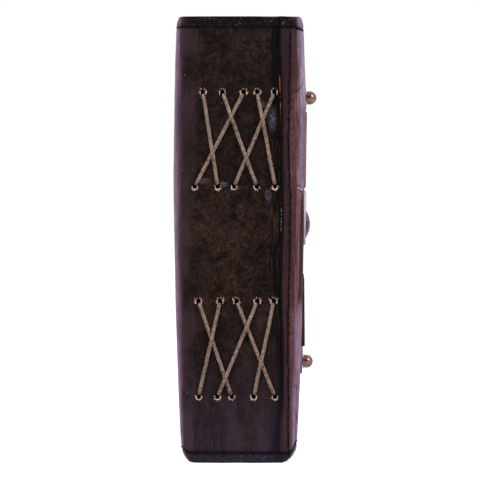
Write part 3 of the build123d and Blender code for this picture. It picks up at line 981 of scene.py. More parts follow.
class Finish:
    """A material and the nodes that make it."""

    def __init__(self, name):
        self.material = bpy.data.materials.new(name)
        self.material.use_nodes = True
        self.tree = self.material.node_tree
        self.shader = self.tree.nodes["Principled BSDF"]
        self.place = self.add("ShaderNodeTexCoord", {}).outputs["Object"]

    def add(self, kind, inputs, **settings):
        return add(self.tree, kind, inputs, **settings)

    def placed(self, centre, sizes, turn=0.0):
        """Object coordinates about a centre, turned in the spine's plane and counted in some sizes."""
        inputs = {"Vector": self.place, "Location": centre, "Rotation": (0, turn, 0), "Scale": sizes}
        return self.add("ShaderNodeMapping", inputs, vector_type="TEXTURE").outputs["Vector"]

    def noise(self, scale, detail, roughness, vector):
        """Soft noise, from 0 to 1."""
        inputs = {"Vector": vector, "Scale": scale, "Detail": detail, "Roughness": roughness}
        return self.add("ShaderNodeTexNoise", inputs).outputs["Fac"]

    def cloud(self, kind, fineness=1.0, vector=None):
        """Soft noise of a kind."""
        scale, detail, roughness = CLOUDS[kind]
        return self.noise(scale * fineness, detail, roughness, vector or self.place)

    def streak_noise(self, width, long, turn, seed, detail):
        """Soft noise drawn out to a width and a length, turned from upright by some degrees."""
        vector = self.placed((seed, seed, seed), (width, width, long), math.radians(turn))
        return self.noise(1.0, detail, STREAK_ROUGHNESS, vector)

    def streaks(self, kind):
        """Streaks of a kind."""
        return self.streak_noise(*STREAKS[kind])

    def cells(self, scale):
        """Distance within small cells, as in the grain of leather."""
        return self.add("ShaderNodeTexVoronoi", {"Vector": self.place, "Scale": scale}).outputs["Distance"]

    def patch(self, centre, sizes):
        """1 in the middle of an oval place and 0 past its edge."""
        node = self.add("ShaderNodeVectorMath", {0: self.placed(centre, sizes)}, operation="LENGTH")
        return self.slope(node.outputs["Value"], "patch")

    def between(self, value, low, high, start=0.0, end=1.0):
        """A value drawn out smoothly from start at low to end at high."""
        inputs = {"Value": value, "From Min": low, "From Max": high, "To Min": start, "To Max": end}
        return self.add("ShaderNodeMapRange", inputs, interpolation_type="SMOOTHSTEP").outputs["Result"]

    def slope(self, value, kind):
        """A value drawn out by a kind of slope."""
        return self.between(value, *SLOPES[kind])

    def band(self, value, start, full, fading, end):
        """0 up to a start and past an end, and 1 between."""
        return self.times(self.between(value, start, full), self.between(value, end, fading))

    def stretch(self, value, kind):
        """A band of a kind."""
        return self.band(value, *BANDS[kind])

    def sum(self, operation, first, second):
        return tree_math(self.tree, operation, first, second)

    def times(self, first, second):
        return self.sum("MULTIPLY", first, second)

    def mix(self, share, first, second):
        """One colour laid over another."""
        inputs = {MIX_SHARE: share, MIX_FIRST: first, MIX_SECOND: second}
        return self.add("ShaderNodeMix", inputs, data_type="RGBA").outputs[MIX_RESULT]

    def axes(self, source=None):
        return self.add("ShaderNodeSeparateXYZ", {0: source or self.place}).outputs

    def mark(self, name):
        """A value that the mesh carries."""
        return self.add("ShaderNodeAttribute", {}, attribute_name=name).outputs["Fac"]

    def relief(self, height, kind, under=None):
        """Relief of a kind, over another."""
        depth, strength = RELIEFS[kind]
        inputs = {"Height": height, "Distance": depth, "Strength": strength}
        if under:
            inputs["Normal"] = under
        return self.add("ShaderNodeBump", inputs).outputs["Normal"]

    def close(self, base, roughness, normal, **levels):
        """Joins the colour, roughness and relief to the shader, and sets its plain values."""
        inputs = {"Base Color": base, "Roughness": roughness}
        if normal:
            inputs["Normal"] = normal
        for key, level in levels.items():
            inputs[key.replace("_", " ")] = level
        for key, value in inputs.items():
            put(self.tree, value, self.shader.inputs[key])
        return self.material


def grain(finish):
    """The relief of leather: pores, fine cells and soft wrinkles."""
    cells = finish.cells(GRAIN_CELLS)
    pores = finish.cloud("pore relief")
    soft = finish.cloud("wrinkle relief")
    normal = finish.relief(soft, "wrinkles")
    normal = finish.relief(cells, "cells", normal)
    return finish.relief(pores, "pores", normal)


def mottled(finish, dark, middle, light, fineness):
    """Leather colour in clouds of three shades, large and small."""
    large = finish.cloud("large mottling", fineness)
    small = finish.cloud("small mottling", fineness)
    base = finish.mix(finish.slope(large, "dark to middle"), dark, middle)
    base = finish.mix(finish.slope(large, "middle to light"), base, light)
    base = finish.mix(finish.slope(small, "small lights"), base, light)
    return finish.mix(finish.slope(small, "small darks"), base, dark)


def pored(finish, base, dark, light, crest, share=1.0):
    """Fine dark pores and pale crests, each about a millimetre across."""
    fine = finish.cloud("pores")
    base = finish.mix(finish.times(finish.slope(fine, "pores"), share), base, dark)
    return finish.mix(finish.between(fine, *CRESTS, 0, crest), base, light)


def scratched(finish, base, tint, share):
    """Fine fibres that lie all ways, in patches, and rubbed flecks, over leather."""
    patches = finish.slope(finish.cloud("fibre patches"), "fibre patches")
    share = finish.times(patches, share)
    for number, turn in enumerate(FIBRE_TURNS):
        fibre = finish.streak_noise(FIBRE_WIDTH, FIBRE_LENGTH, turn, FIBRE_SEEDS * number, FIBRE_DETAIL)
        base = finish.mix(finish.times(finish.slope(fibre, "fibres"), share), base, tint)
    flecks = finish.cloud("flecks")
    return finish.mix(finish.times(finish.slope(flecks, "flecks"), share), base, tint)


def leather_close(finish, base, roughness):
    """Ends a leather with its worn roughness, its sheen and its grain."""
    levels = {"Specular_IOR_Level": LEATHER_GLOSS, "Sheen_Weight": LEATHER_SHEEN,
              "Sheen_Roughness": SHEEN_ROUGHNESS, "Sheen_Tint": hue().sheen}
    worn = finish.between(finish.cloud("wear"), *WEAR, *roughness)
    return finish.close(base, worn, grain(finish), **levels)


def painted_crease_shade(finish, base):
    """Painted shade in creases and stitch grooves, drawn from the mesh's own marks."""
    share = finish.times(finish.mark("crease"), SHARES["crease"])
    return finish.mix(share, base, hue().crease_dark)


def edge_bands(finish, base):
    """The blackened bands outside the stitches at head and tail, with a few grey flecks."""
    streaks = finish.slope(finish.streaks("edge streaks"), "edge streaks")
    flecks = finish.slope(finish.streaks("edge flecks"), "edge flecks")
    patches = finish.slope(finish.cloud("edge fleck patches"), "edge fleck patches")
    flecks = finish.times(flecks, patches)
    for mark, tint in (("head_band", hue().edge_black), ("tail_band", hue().tail_black)):
        band = finish.mark(mark)
        black = finish.times(finish.times(band, SHARES["edge bands"]), streaks)
        base = finish.mix(black, base, tint)
        base = finish.mix(finish.times(band, flecks), base, hue().rubbed)
    return base


def centred(finish, value, reach):
    """Noise about 0, with a reach."""
    return finish.times(finish.sum("SUBTRACT", value, NOISE_MIDDLE), reach)


def painted_sheen_band(finish, base, place, kind, share, tint):
    """A painted sheen, streaked along the turn: colour laid on where light glances off the leather."""
    wander = centred(finish, finish.streaks("bloom wander"), PAINTED_SHEEN_WANDER)
    painted_sheen = finish.times(finish.stretch(finish.sum("ADD", place, wander), kind), share)
    fine = finish.slope(finish.streaks("fine bloom"), "fine bloom")
    cloudy = finish.slope(finish.cloud("painted_sheen"), "bloom clouds")
    return finish.mix(finish.times(finish.times(painted_sheen, fine), cloudy), base, tint)


def back_turn(finish, base, around, up):
    """The spine's hide where it turns into the back cover: painted shade at first, then painted lighter
    further round, and painted sheen.
    """
    colours = hue()
    dark = colours.spine_dark
    back_dark = colours.back_dark
    back_brown = colours.back_brown
    flat_end = size().front_flat + size().back_flat - size().lap_setback
    ragged = centred(finish, finish.streaks("turn border"), TURN_WANDER)
    widened = finish.sum("ADD", around, finish.slope(up, "wider turn"))
    border = [flat_end + reach for reach in TURN_BORDER]
    turn = finish.between(finish.sum("ADD", widened, ragged), *border, 0, TURN_SHARE)
    # A shaded and a lighter copy of the leather follow the turn: painted light by how the turn faces.
    shaded = mottled(finish, colours.spine_brown, back_dark, back_dark, SHADED_MOTTLING)
    lighter = mottled(finish, back_dark, back_brown, back_brown, SPINE_MOTTLING)
    turned = finish.mark("turn")
    over = finish.mix(finish.slope(turned, "shaded to lighter"), shaded, lighter)
    base = finish.mix(turn, base, over)
    fold = finish.band(around, *[flat_end + reach for reach in FOLD_SHADE])
    base = finish.mix(finish.times(fold, SHARES["fold shade"]), base, dark)
    low = finish.times(turn, finish.slope(up, "low back"))
    base = finish.mix(low, base, colours.back_low)
    return painted_sheen_band(finish, base, turned, "back bloom", 1.0, colours.painted_sheen)


def seam_side(finish, base, across, up):
    """Darkening along the spine's seam, and golden streaks through it."""
    colours = hue()
    seam = middle_x + size().seam_edge
    beside = finish.between(across, *[seam + reach for reach in DARKENING_REACH])
    ragged = finish.slope(finish.streaks("seam soot"), "seam soot")
    low = finish.slope(up, "low soot")
    darkening = finish.mix(low, colours.edge_black, colours.tail_black)
    base = finish.mix(finish.times(finish.times(beside, ragged), SHARES["seam soot"]), base, darkening)
    golden = finish.slope(finish.streaks("golden"), "golden")
    golden = finish.times(finish.times(golden, beside), finish.stretch(up, "golden heights"))
    return finish.mix(finish.times(golden, SHARES["golden"]), base, colours.spine_worn)


def spine_finish():
    """Dark brown aged leather: warm where it is rubbed, black along its edges, with painted sheen on its
    turn.
    """
    finish = Finish("aged spine leather")
    colours = hue()
    dark = colours.spine_dark
    worn = colours.spine_worn
    base = mottled(finish, dark, colours.spine_brown, colours.spine_light, SPINE_MOTTLING)
    across, _, up = finish.axes()
    middle = finish.times(finish.stretch(up, "warm middle"), SHARES["warm middle"])
    warm = finish.sum("ADD", middle, SHARES["warm all over"])
    cloudy = finish.slope(finish.streaks("low clouds"), "low clouds")
    low = finish.times(finish.slope(up, "low spine"), cloudy)
    base = finish.mix(low, base, colours.spine_low)
    low_pores = finish.slope(up, "low pores")
    base = pored(finish, base, dark, worn, SHARES["spine crests"], low_pores)
    base = scratched(finish, base, worn, warm)
    smoke = finish.slope(finish.cloud("smoke"), "smoke")
    base = finish.mix(finish.times(smoke, finish.slope(up, "low smoke")), base, dark)
    base = back_turn(finish, base, finish.mark("around"), up)
    base = seam_side(finish, base, across, up)
    base = edge_bands(finish, base)
    smear = finish.slope(finish.streaks("smear"), "smear")
    for x, z, wide, tall in RUBBED:
        spot = finish.patch((middle_x + x * MM, spine_y, z * MM), (wide * MM, RUBBED_DEPTH, tall * MM))
        share = finish.times(finish.times(spot, smear), SHARES["rubbed"])
        base = finish.mix(share, base, colours.rubbed)
    specks = finish.slope(finish.cloud("specks"), "specks")
    base = finish.mix(specks, base, colours.raw_pale)
    base = painted_crease_shade(finish, base)
    edge = finish.times(finish.mark("edge"), SHARES["spine edge"])
    base = finish.mix(edge, base, colours.edge_black)
    return leather_close(finish, base, SATIN)


def front_painted_sheens(finish, base, past, up, painted_shade_zone):
    """The painted sheen of the front turn: pale near the head, reddish beside the stone, and lilac at the
    tail.
    """
    colours = hue()
    painted_sheen = colours.painted_sheen
    turned = finish.mark("turn")
    low = finish.slope(up, "low front")
    high = finish.sum("SUBTRACT", finish.sum("SUBTRACT", 1, painted_shade_zone), low)
    later = finish.sum("SUBTRACT", turned, finish.slope(up, "later bloom"))
    paler = finish.mix(finish.slope(up, "pale head"), painted_sheen, colours.pale_painted_sheen)
    base = painted_sheen_band(finish, base, later, "front bloom", high, paler)
    reddish_sheen_share = finish.times(painted_shade_zone, SHARES["stone bloom"])
    base = painted_sheen_band(finish, base, turned, "stone bloom", reddish_sheen_share, colours.flush)
    sooner = finish.sum("ADD", turned, finish.slope(up, "sooner bloom"))
    on_turn = finish.slope(turned, "on the turn")
    mauve = finish.times(finish.slope(up, "mauve tail"), on_turn)
    mauve = finish.times(mauve, finish.slope(past, "mauve past the seam"))
    base = finish.mix(mauve, base, colours.back_brown)
    base = painted_sheen_band(finish, base, sooner, "low bloom", finish.times(low, on_turn), painted_sheen)
    # A band of front red near the turn's outer edge is painted shade where the painted sheen dims.
    outer = finish.times(finish.stretch(turned, "red on the turn"), finish.stretch(up, "red heights"))
    return finish.mix(finish.times(outer, SHARES["outer red"]), base, colours.front_red)


def front_cut_edge(finish, base, back, up):
    """The front hide's cut edge: black, bare and dotted orange near the head, rubbed pale lower down."""
    colours = hue()
    black = colours.edge_black
    shadow = finish.slope(finish.mark("around"), "lap shadow")
    shadow = finish.times(shadow, finish.slope(up, "low lap shadow"))
    base = finish.mix(shadow, base, black)
    bare = finish.stretch(up, "bare heights")
    broken = finish.slope(finish.cloud("broken edge"), "broken edge")
    dotted = finish.times(finish.stretch(up, "dotted heights"), broken)
    rubbed = finish.times(finish.stretch(up, "pale heights"), broken)
    cut = finish.mix(finish.sum("MAXIMUM", bare, dotted), black, colours.raw_orange)
    cut = finish.mix(finish.times(rubbed, SHARES["pale edge"]), cut, colours.raw_pale)
    cut = finish.mix(finish.between(back, spine_y + CUT_FACE, spine_y), black, cut)
    cut = finish.mix(finish.slope(up, "tail edge"), cut, colours.tail_black)
    return finish.mix(finish.slope(finish.mark("edge"), "cut edge"), base, cut)


def front_finish():
    """Reddish brown leather: black or bare at its cut edge, creased round its turn, with painted sheen and
    painted shade there.
    """
    finish = Finish("aged front leather")
    colours = hue()
    dark = colours.front_dark
    red_tint = colours.front_red
    base = mottled(finish, dark, colours.front_brown, red_tint, FRONT_MOTTLING)
    _, back, up = finish.axes()
    past = finish.mark("past_seam")
    # Beside the stone the front turn gets painted shade: darker past the seam, darker still on the turn, and
    # less painted sheen.
    uneven = centred(finish, finish.cloud("dull border"), PAINTED_SHADE_WANDER)
    painted_shade_zone = finish.stretch(finish.sum("ADD", up, uneven), "beside the stone")
    red = finish.stretch(past, "red past the seam")
    base = finish.mix(finish.times(red, SHARES["red"]), base, red_tint)
    # Long dark streaks are painted shade of small wrinkles in the hide.
    wrinkles = finish.slope(finish.streaks("wrinkles"), "wrinkles")
    base = finish.mix(wrinkles, base, dark)
    base = pored(finish, base, dark, red_tint, SHARES["front crests"])
    base = scratched(finish, base, red_tint, SHARES["scratches"])
    base = finish.mix(finish.slope(up, "dark head"), base, dark)
    seam_painted_shade = finish.times(painted_shade_zone, finish.stretch(past, "soot past the seam"))
    base = finish.mix(finish.times(seam_painted_shade, SHARES["darkening"]), base, dark)
    painted_stone_shade = finish.times(painted_shade_zone, finish.stretch(finish.mark("turn"), "wine on the turn"))
    base = finish.mix(finish.times(painted_stone_shade, SHARES["painted_stone_shade"]), base, colours.front_painted_shade)
    streaked = finish.slope(finish.streaks("strip"), "strip streaks")
    strip = finish.times(finish.slope(past, "strip"), streaked)
    base = finish.mix(strip, base, colours.strip_dark)
    base = front_painted_sheens(finish, base, past, up, painted_shade_zone)
    ragged = finish.slope(finish.cloud("torn"), "torn")
    for x, z, wide, tall, tint in TEARS:
        spot = finish.patch((middle_x + x * MM, spine_y, z * MM), (wide * MM, TEAR_DEPTH, tall * MM))
        base = finish.mix(finish.times(spot, ragged), base, getattr(colours, tint))
    base = edge_bands(finish, base)
    base = painted_crease_shade(finish, base)
    base = front_cut_edge(finish, base, back, up)
    return leather_close(finish, base, FRONT_SATIN)


def lining_finish():
    """Suede, brushed in soft patches."""
    finish = Finish("suede lining")
    dark = hue().lining_dark
    brushed = finish.cloud("brushed suede")
    nap = finish.cloud("nap")
    base = finish.mix(finish.slope(brushed, "brushed suede"), dark, hue().lining)
    base = finish.mix(finish.slope(nap, "nap"), base, dark)
    # The side that lies against the leather is painted near black, as shade between the layers.
    hidden = finish.slope(finish.mark("outside"), "hidden side")
    base = finish.mix(hidden, base, hue().crease_dark)
    rough = finish.slope(nap, "suede roughness")
    levels = {"Specular_IOR_Level": GLOSS["suede"], "Sheen_Weight": SUEDE_SHEEN}
    return finish.close(base, rough, finish.relief(nap, "nap"), **levels)


def paper_finish(name):
    """Handmade paper with fibres and faint stains."""
    finish = Finish(name)
    edge = hue().paper_edge
    stain = finish.cloud("paper stains")
    fibre = finish.cloud("paper fibres", vector=finish.placed((0, 0, 0), PAPER_FIBRE))
    base = finish.mix(finish.slope(stain, "paper stains"), hue().paper, edge)
    base = finish.mix(finish.slope(fibre, "paper fibres"), base, edge)
    rough = finish.slope(stain, "paper roughness")
    return finish.close(base, rough, finish.relief(fibre, "paper"), Specular_IOR_Level=GLOSS["paper"])


def cord_finish():
    """Waxed cord: pale taupe fibres, with painted shade in the lines between the strands."""
    finish = Finish("waxed lacing cord")
    dark = hue().cord_dark
    around = finish.mark("around")
    round_it = finish.times(around, CORD_FIBRES_AROUND)
    down_it = finish.times(finish.mark("along"), CORD_FIBRES_ALONG)
    joined = finish.add("ShaderNodeCombineXYZ", {0: round_it, 1: down_it})
    fibres = finish.cloud("cord fibres", vector=joined.outputs[0])
    soil = finish.cloud("cord soil")
    base = finish.mix(finish.slope(fibres, "cord fibres"), dark, hue().cord_pale)
    base = finish.mix(finish.slope(soil, "cord soil"), base, dark)
    # The lines between the strands are painted shade in the cord's grooves, patchy along it.
    strands = finish.sum("COSINE", finish.times(around, STRANDS * 2 * math.pi), 0)
    uneven = finish.slope(finish.cloud("patchy strand shade"), "patchy strand shade")
    lines = finish.times(finish.slope(strands, "between strands"), uneven)
    base = finish.mix(lines, base, dark)
    rough = finish.slope(fibres, "cord roughness")
    return finish.close(base, rough, finish.relief(fibres, "cord"), Specular_IOR_Level=GLOSS["cord"])


def thread_finish():
    """Dark waxed thread with a fine twist."""
    finish = Finish("waxed sewing thread")
    twist = finish.cloud("thread twist")
    base = finish.mix(finish.slope(twist, "thread twist"), hue().crease_dark, hue().thread)
    rough = finish.slope(twist, "thread roughness")
    return finish.close(base, rough, finish.relief(twist, "thread"), Specular_IOR_Level=GLOSS["thread"])


def torn_finish():
    """Pale fibres of torn leather, brown at their roots."""
    finish = Finish("torn leather fibres")
    fibres = finish.cloud("torn fibres")
    base = finish.mix(finish.slope(fibres, "torn fibres"), hue().front_red, hue().raw_pale)
    root = finish.slope(finish.mark("root"), "torn roots")
    base = finish.mix(root, base, hue().spine_dark)
    rough = finish.slope(fibres, "torn roughness")
    return finish.close(base, rough, finish.relief(fibres, "torn"), Specular_IOR_Level=GLOSS["torn"])


def trim_finish(name, light, dark, cut, axis, bare, painted_sheen_end=None):
    """Leather of a strap, ring or overlay.

    Its cut edges show where its faces look along an axis, or away from it. Near an end that is given, painted
    sheen lightens the strap's shaded tip.
    """
    finish = Finish(name)
    base = mottled(finish, dark, light, light, TRIM_MOTTLING)
    base = scratched(finish, base, hue().front_red, SHARES["scratches"])
    coords = finish.add("ShaderNodeTexCoord", {})
    facing = finish.sum("ABSOLUTE", finish.axes(coords.outputs["Normal"])[axis], 0)
    base = finish.mix(finish.between(facing, *bare), base, cut)
    if painted_sheen_end:
        near = finish.between(finish.axes()[1], painted_sheen_end + TIP_PAINTED_SHEEN, painted_sheen_end, 0, SHARES["strap tip"])
        base = finish.mix(near, base, hue().painted_sheen)
    return leather_close(finish, base, SATIN)


def metal_finish():
    """Aged copper, brighter where it is rubbed."""
    finish = Finish("aged copper")
    dark = hue().metal_dark
    tarnish = finish.cloud("tarnish")
    spots = finish.cloud("copper spots")
    base = finish.mix(finish.slope(tarnish, "tarnish"), dark, hue().metal)
    base = finish.mix(finish.slope(spots, "copper spots"), base, dark)
    rough = finish.slope(tarnish, "copper roughness")
    return finish.close(base, rough, finish.relief(spots, "copper"), Metallic=1.0)


def stone_finish():
    """Polished purple stone with clouds and pale veins."""
    finish = Finish("polished purple stone")
    clouds = finish.cloud("stone clouds")
    veins = finish.cloud("stone veins")
    ridge = finish.sum("ABSOLUTE", finish.sum("SUBTRACT", veins, NOISE_MIDDLE), 0)
    base = finish.mix(finish.slope(clouds, "stone clouds"), hue().stone_dark, hue().stone)
    base = finish.mix(finish.slope(ridge, "stone veins"), base, hue().stone_pale)
    rough = finish.slope(clouds, "stone roughness")
    return finish.close(base, rough, None, Specular_IOR_Level=GLOSS["stone"])


# Leather and linings.


def hide_runs(side):
    """The columns of a hide's mesh, closer where it is seen near or bends."""
    return steps(*(FRONT_COLUMNS if side == FRONT else BACK_COLUMNS))


def hide_rows(side):
    """The rows of a sheet's mesh, from its tail edge to its head edge."""
    return steps(TAIL_ROWS, FRONT_ROWS if side == FRONT else BACK_ROWS, HEAD_ROWS)


def corner_rise(y, setback):
    """How far a cover's rounded corner has drawn in at a depth."""
    radius = size().cover_corner - setback
    past = np.clip(y - (cover_depth - setback - radius), 0, radius)
    return radius - np.sqrt(radius ** 2 - past ** 2)


def sheet_places(side, setback, rim, wave, seed):
    """Columns and heights of a sheet's grid, within the case's outline."""
    run, share = np.meshgrid(hide_runs(side), hide_rows(side), indexing="ij")
    first = hide_point(side, run, share * cover_height, 0)
    fore_run = (cover_depth - setback - rim) / cover_depth
    y = first[..., 1] * np.where(run > 2, fore_run, 1)
    drawn = corner_rise(y, setback)
    around = np.cumsum(np.linalg.norm(np.diff(first, axis=0, prepend=first[:1]), axis=-1), axis=0)
    wander = ripple(around * EDGE_WAVES, share * 0, seed)
    low = setback + rim + drawn + wave * np.maximum(wander, 0)
    if side == FRONT:
        low = low + size().front_tail_lift * ease(run, *TAIL_LIFT)
    head_wander = ripple(around * EDGE_WAVES, share * 0, seed + HEAD_SEED)
    high = cover_height - setback - rim - drawn - wave * np.maximum(head_wander, 0)
    shortened = np.where(run > 2, 2 + (run - 2) * fore_run, run)
    return shortened, low + share * (high - low), around


def groove(distance):
    return bell(distance, size().stitch_width)


def crease_line(start, pull, end, around, z):
    """How near points lie to a bent crease that dies out at its ends, from 0 to 1."""
    depth = np.zeros_like(z)
    for share in np.linspace(0, 1, CREASE_STEPS):
        across, up = [(1 - share) ** 2 * a + 2 * share * (1 - share) * b + share ** 2 * c
                      for a, b, c in zip(start, pull, end)]
        strength = math.sin(math.pi * (CREASE_ENDS + (1 - 2 * CREASE_ENDS) * share))
        near = bell(np.hypot(around - across * MM, z - up * MM), size().crease_width)
        depth = np.maximum(depth, strength * near)
    return depth


def seam_distance(z):
    """How far the seam's stitches lie from its cut edge."""
    return seam_stitches(z) - hide_free_edge(FRONT, 0, z)


def hide_relief(side, run, points, z, around):
    """How far a hide's face rises or sinks, and how much painted shade its creases and stitch grooves get."""
    wave = ripple(around * WAVES[0], z * WAVES[1], WAVE_SEED + side)
    wave = wave + RIPPLE_SHARE * ripple(around * RIPPLES[0], z * RIPPLES[1], RIPPLE_SEED + side)
    lines = groove(head_line(side, run) - z) + groove((z - tail_line(side, run)) / TAIL_GROOVE)
    lines += groove(cover_depth - size().fore_line - points[..., 1])
    crease = np.zeros_like(z)
    if side == FRONT:
        lines += groove((around - seam_distance(z)) / SEAM_GROOVE)
        folded = 1 - np.abs(ripple(around * WRINKLE_WAVES[0], z * WRINKLE_WAVES[1], WRINKLE_SEED))
        broken = ease(ripple(around * BREAK_WAVES[0], z * BREAK_WAVES[1], BREAK_SEED), *BREAKS)
        begin = [size().seam_line + step for step in WRINKLE_START]
        in_turn = ease(around, *begin) * ease(around, *WRINKLE_END)
        crease = WRINKLE_DEPTH * ease(folded, *WRINKLE_SHARP) * broken * in_turn
        for points_of in CREASES:
            crease = np.maximum(crease, crease_line(*points_of, around, z))
    lines = np.clip(lines, 0, 1)
    sunk = lines * size().stitch_sink + crease * size().crease_depth
    return size().hide_wave * wave - sunk, np.clip(GROOVE_DARKNESS * (lines + crease), 0, 1)


def outward_of(points, side):
    """Which way a grid's face looks."""
    along = np.gradient(points, axis=0)
    up = np.gradient(points, axis=1)
    facing = np.cross(along, up) * side
    return facing / np.maximum(np.linalg.norm(facing, axis=-1, keepdims=True), TINIEST)


def hide(name, side, material):
    """One hide, from its edge on the spine round to the fore-edge of its cover."""
    rim = RIM_SHARE * size().leather
    run, z, around = sheet_places(side, 0, rim, size().edge_wave, HIDE_SEED + side)
    outer = hide_point(side, run, z, 0)
    inner = hide_point(side, run, z, size().leather)
    rise, crease = hide_relief(side, run, outer, z, around)
    outer = outer + outward_of(outer, side) * rise[..., None]
    above_head = ease(z - head_line(side, run), *BAND_BORDER)
    below_tail = ease(tail_line(side, run) - z, *BAND_BORDER)
    flatness = 1 - BAND_FADING * ease(run, *BAND_TURN)
    marks = {"crease": crease, "around": around, "turn": run - 1}
    if side == FRONT:
        marks["past_seam"] = around - seam_distance(z)
    marks["head_band"] = above_head * flatness
    marks["tail_band"] = below_tail * flatness
    mesh = sheet_mesh(name, outer, inner, marks, rim)
    return new_object(name, mesh, material)


def blend_with_cover(piece):
    """Bakes a piece's placement into its mesh."""
    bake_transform(piece)


def lacing_groups():
    """Both groups of the lacing: name, cords, and heights of its rows of holes."""
    return (("upper", UPPER_CORDS, size().upper_top, size().upper_bottom),
            ("lower", LOWER_CORDS, size().lower_top, size().lower_bottom))


def lacing_holes():
    """Every lacing hole: across, up, and which way its torn edge points."""
    places = []
    for _, cords, top, bottom in lacing_groups():
        for top_x, bottom_x, _ in cords:
            places.append((top_x * MM, top, 1))
            places.append((bottom_x * MM, bottom, -1))
    return places


def hole_cutter():
    """Ragged plugs where the lacing holes are punched."""
    points = []
    faces = []
    for index, (x, z, _) in enumerate(lacing_holes()):
        start = len(points)
        for depth in (CUTTER_OUT * size().leather, CUTTER_IN * size().leather):
            for step in range(HOLE_SIDES):
                angle = 2 * math.pi * step / HOLE_SIDES
                ragged = noise.noise(Vector((math.cos(angle), math.sin(angle), index * HOLE_SEEDS)))
                uneven = 1 + HOLE_RAGGED * ragged
                wide = size().hole / 2 * uneven
                tall = size().hole_height / 2 * uneven
                points.append((x + wide * math.cos(angle), depth, z + tall * math.sin(angle)))
        near = [start + step for step in range(HOLE_SIDES)]
        far = [start + HOLE_SIDES + step for step in range(HOLE_SIDES)]
        faces += [near, far[::-1]]
        for step in range(HOLE_SIDES):
            after = (step + 1) % HOLE_SIDES
            faces.append([near[step], near[after], far[after], far[step]])
    mesh = mesh_from("hole cutter", in_frame(np.array(points)), faces)
    return new_object("hole_cutter", mesh)


def cut_out(piece, cutter):
    """Takes a cutter out of a piece and leaves a plain mesh."""
    modifier = piece.modifiers.new("holes", "BOOLEAN")
    modifier.operation = "DIFFERENCE"
    modifier.solver = "EXACT"
    modifier.object = cutter
    settle(piece)
    bpy.data.objects.remove(cutter)


def settle(piece):
    """Turns a piece's modifiers into a plain mesh."""
    graph = bpy.context.evaluated_depsgraph_get()
    mesh = bpy.data.meshes.new_from_object(piece.evaluated_get(graph))
    piece.modifiers.clear()
    piece.data = mesh


class JOURNAL_OT_case_hide(bpy.types.Operator):
    """Makes the spine's hide, punched for the lacing, as one sheet with the back cover's."""

    bl_idname = "journal.case_hide"
    bl_label = "Spine and back hide"

    def execute(self, context):
        piece = hide("case_hide", BACK, spine_finish())
        cut_out(piece, hole_cutter())
        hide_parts("spine_leather", "back_leather")
        blend_with_cover(piece)
        return {"FINISHED"}


class JOURNAL_OT_front_hide(bpy.types.Operator):
    """Makes the front hide, from its cut edge on the spine round to the fore-edge."""

    bl_idname = "journal.front_hide"
    bl_label = "Front hide"

    def execute(self, context):
        piece = hide("front_hide", FRONT, front_finish())
        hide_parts("front_hinge_strip", "front_leather")
        blend_with_cover(piece)
        return {"FINISHED"}


def lining_sheet(name, side, material, first_run):
    """A lining inside a hide, set back from its edges."""
    setback = size().lining_setback
    rim = RIM_SHARE * size().lining
    run, z, _ = sheet_places(side, setback, rim, 0, LINING_SEED + side)
    keep = run[:, 0] >= first_run
    run = run[keep]
    z = z[keep]
    top = size().leather + size().layer_gap
    outer = hide_point(side, run, z, top)
    inner = hide_point(side, run, z, size().leather + size().lining - size().rivet_show)
    return new_object(name, sheet_mesh(name, outer, inner, {}, rim), material)


class JOURNAL_OT_linings(bpy.types.Operator):
    """Makes the suede linings of the spine and of both covers."""

    bl_idname = "journal.linings"
    bl_label = "Linings"

    def execute(self, context):
        material = lining_finish()
        back = lining_sheet("case_lining", BACK, material, BACK_LINING_START)
        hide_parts("spine_lining", "back_lining")
        blend_with_cover(back)
        front = lining_sheet("front_cover_lining", FRONT, material, FRONT_LINING_START)
        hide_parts("front_lining")
        blend_with_cover(front)
        return {"FINISHED"}


# Leaves.


def leaf_place(share, y, z):
    """How far across a leaf lies, for its share of the way from the back cover to the front one."""
    half = barrel_width(z) - size().leather - size().lining - size().page_gap
    return (2 * share - 1) * half + share * lean(FRONT, y)


def leaf_route():
    """The path of a leaf's edge along tail, fore-edge and head: depth, height, and which way is out."""
    start = size().leaf_start
    tail = [(y, page_tail, 0, -1) for y in np.linspace(start, page_fore, LEAF_LONG)]
    fore = [(page_fore, z, 1, 0) for z in np.linspace(page_tail, page_head, LEAF_TALL)]
    head = [(y, page_head, 0, 1) for y in np.linspace(page_fore, start, LEAF_LONG)]
    return np.array(tail + fore[1:-1] + head)


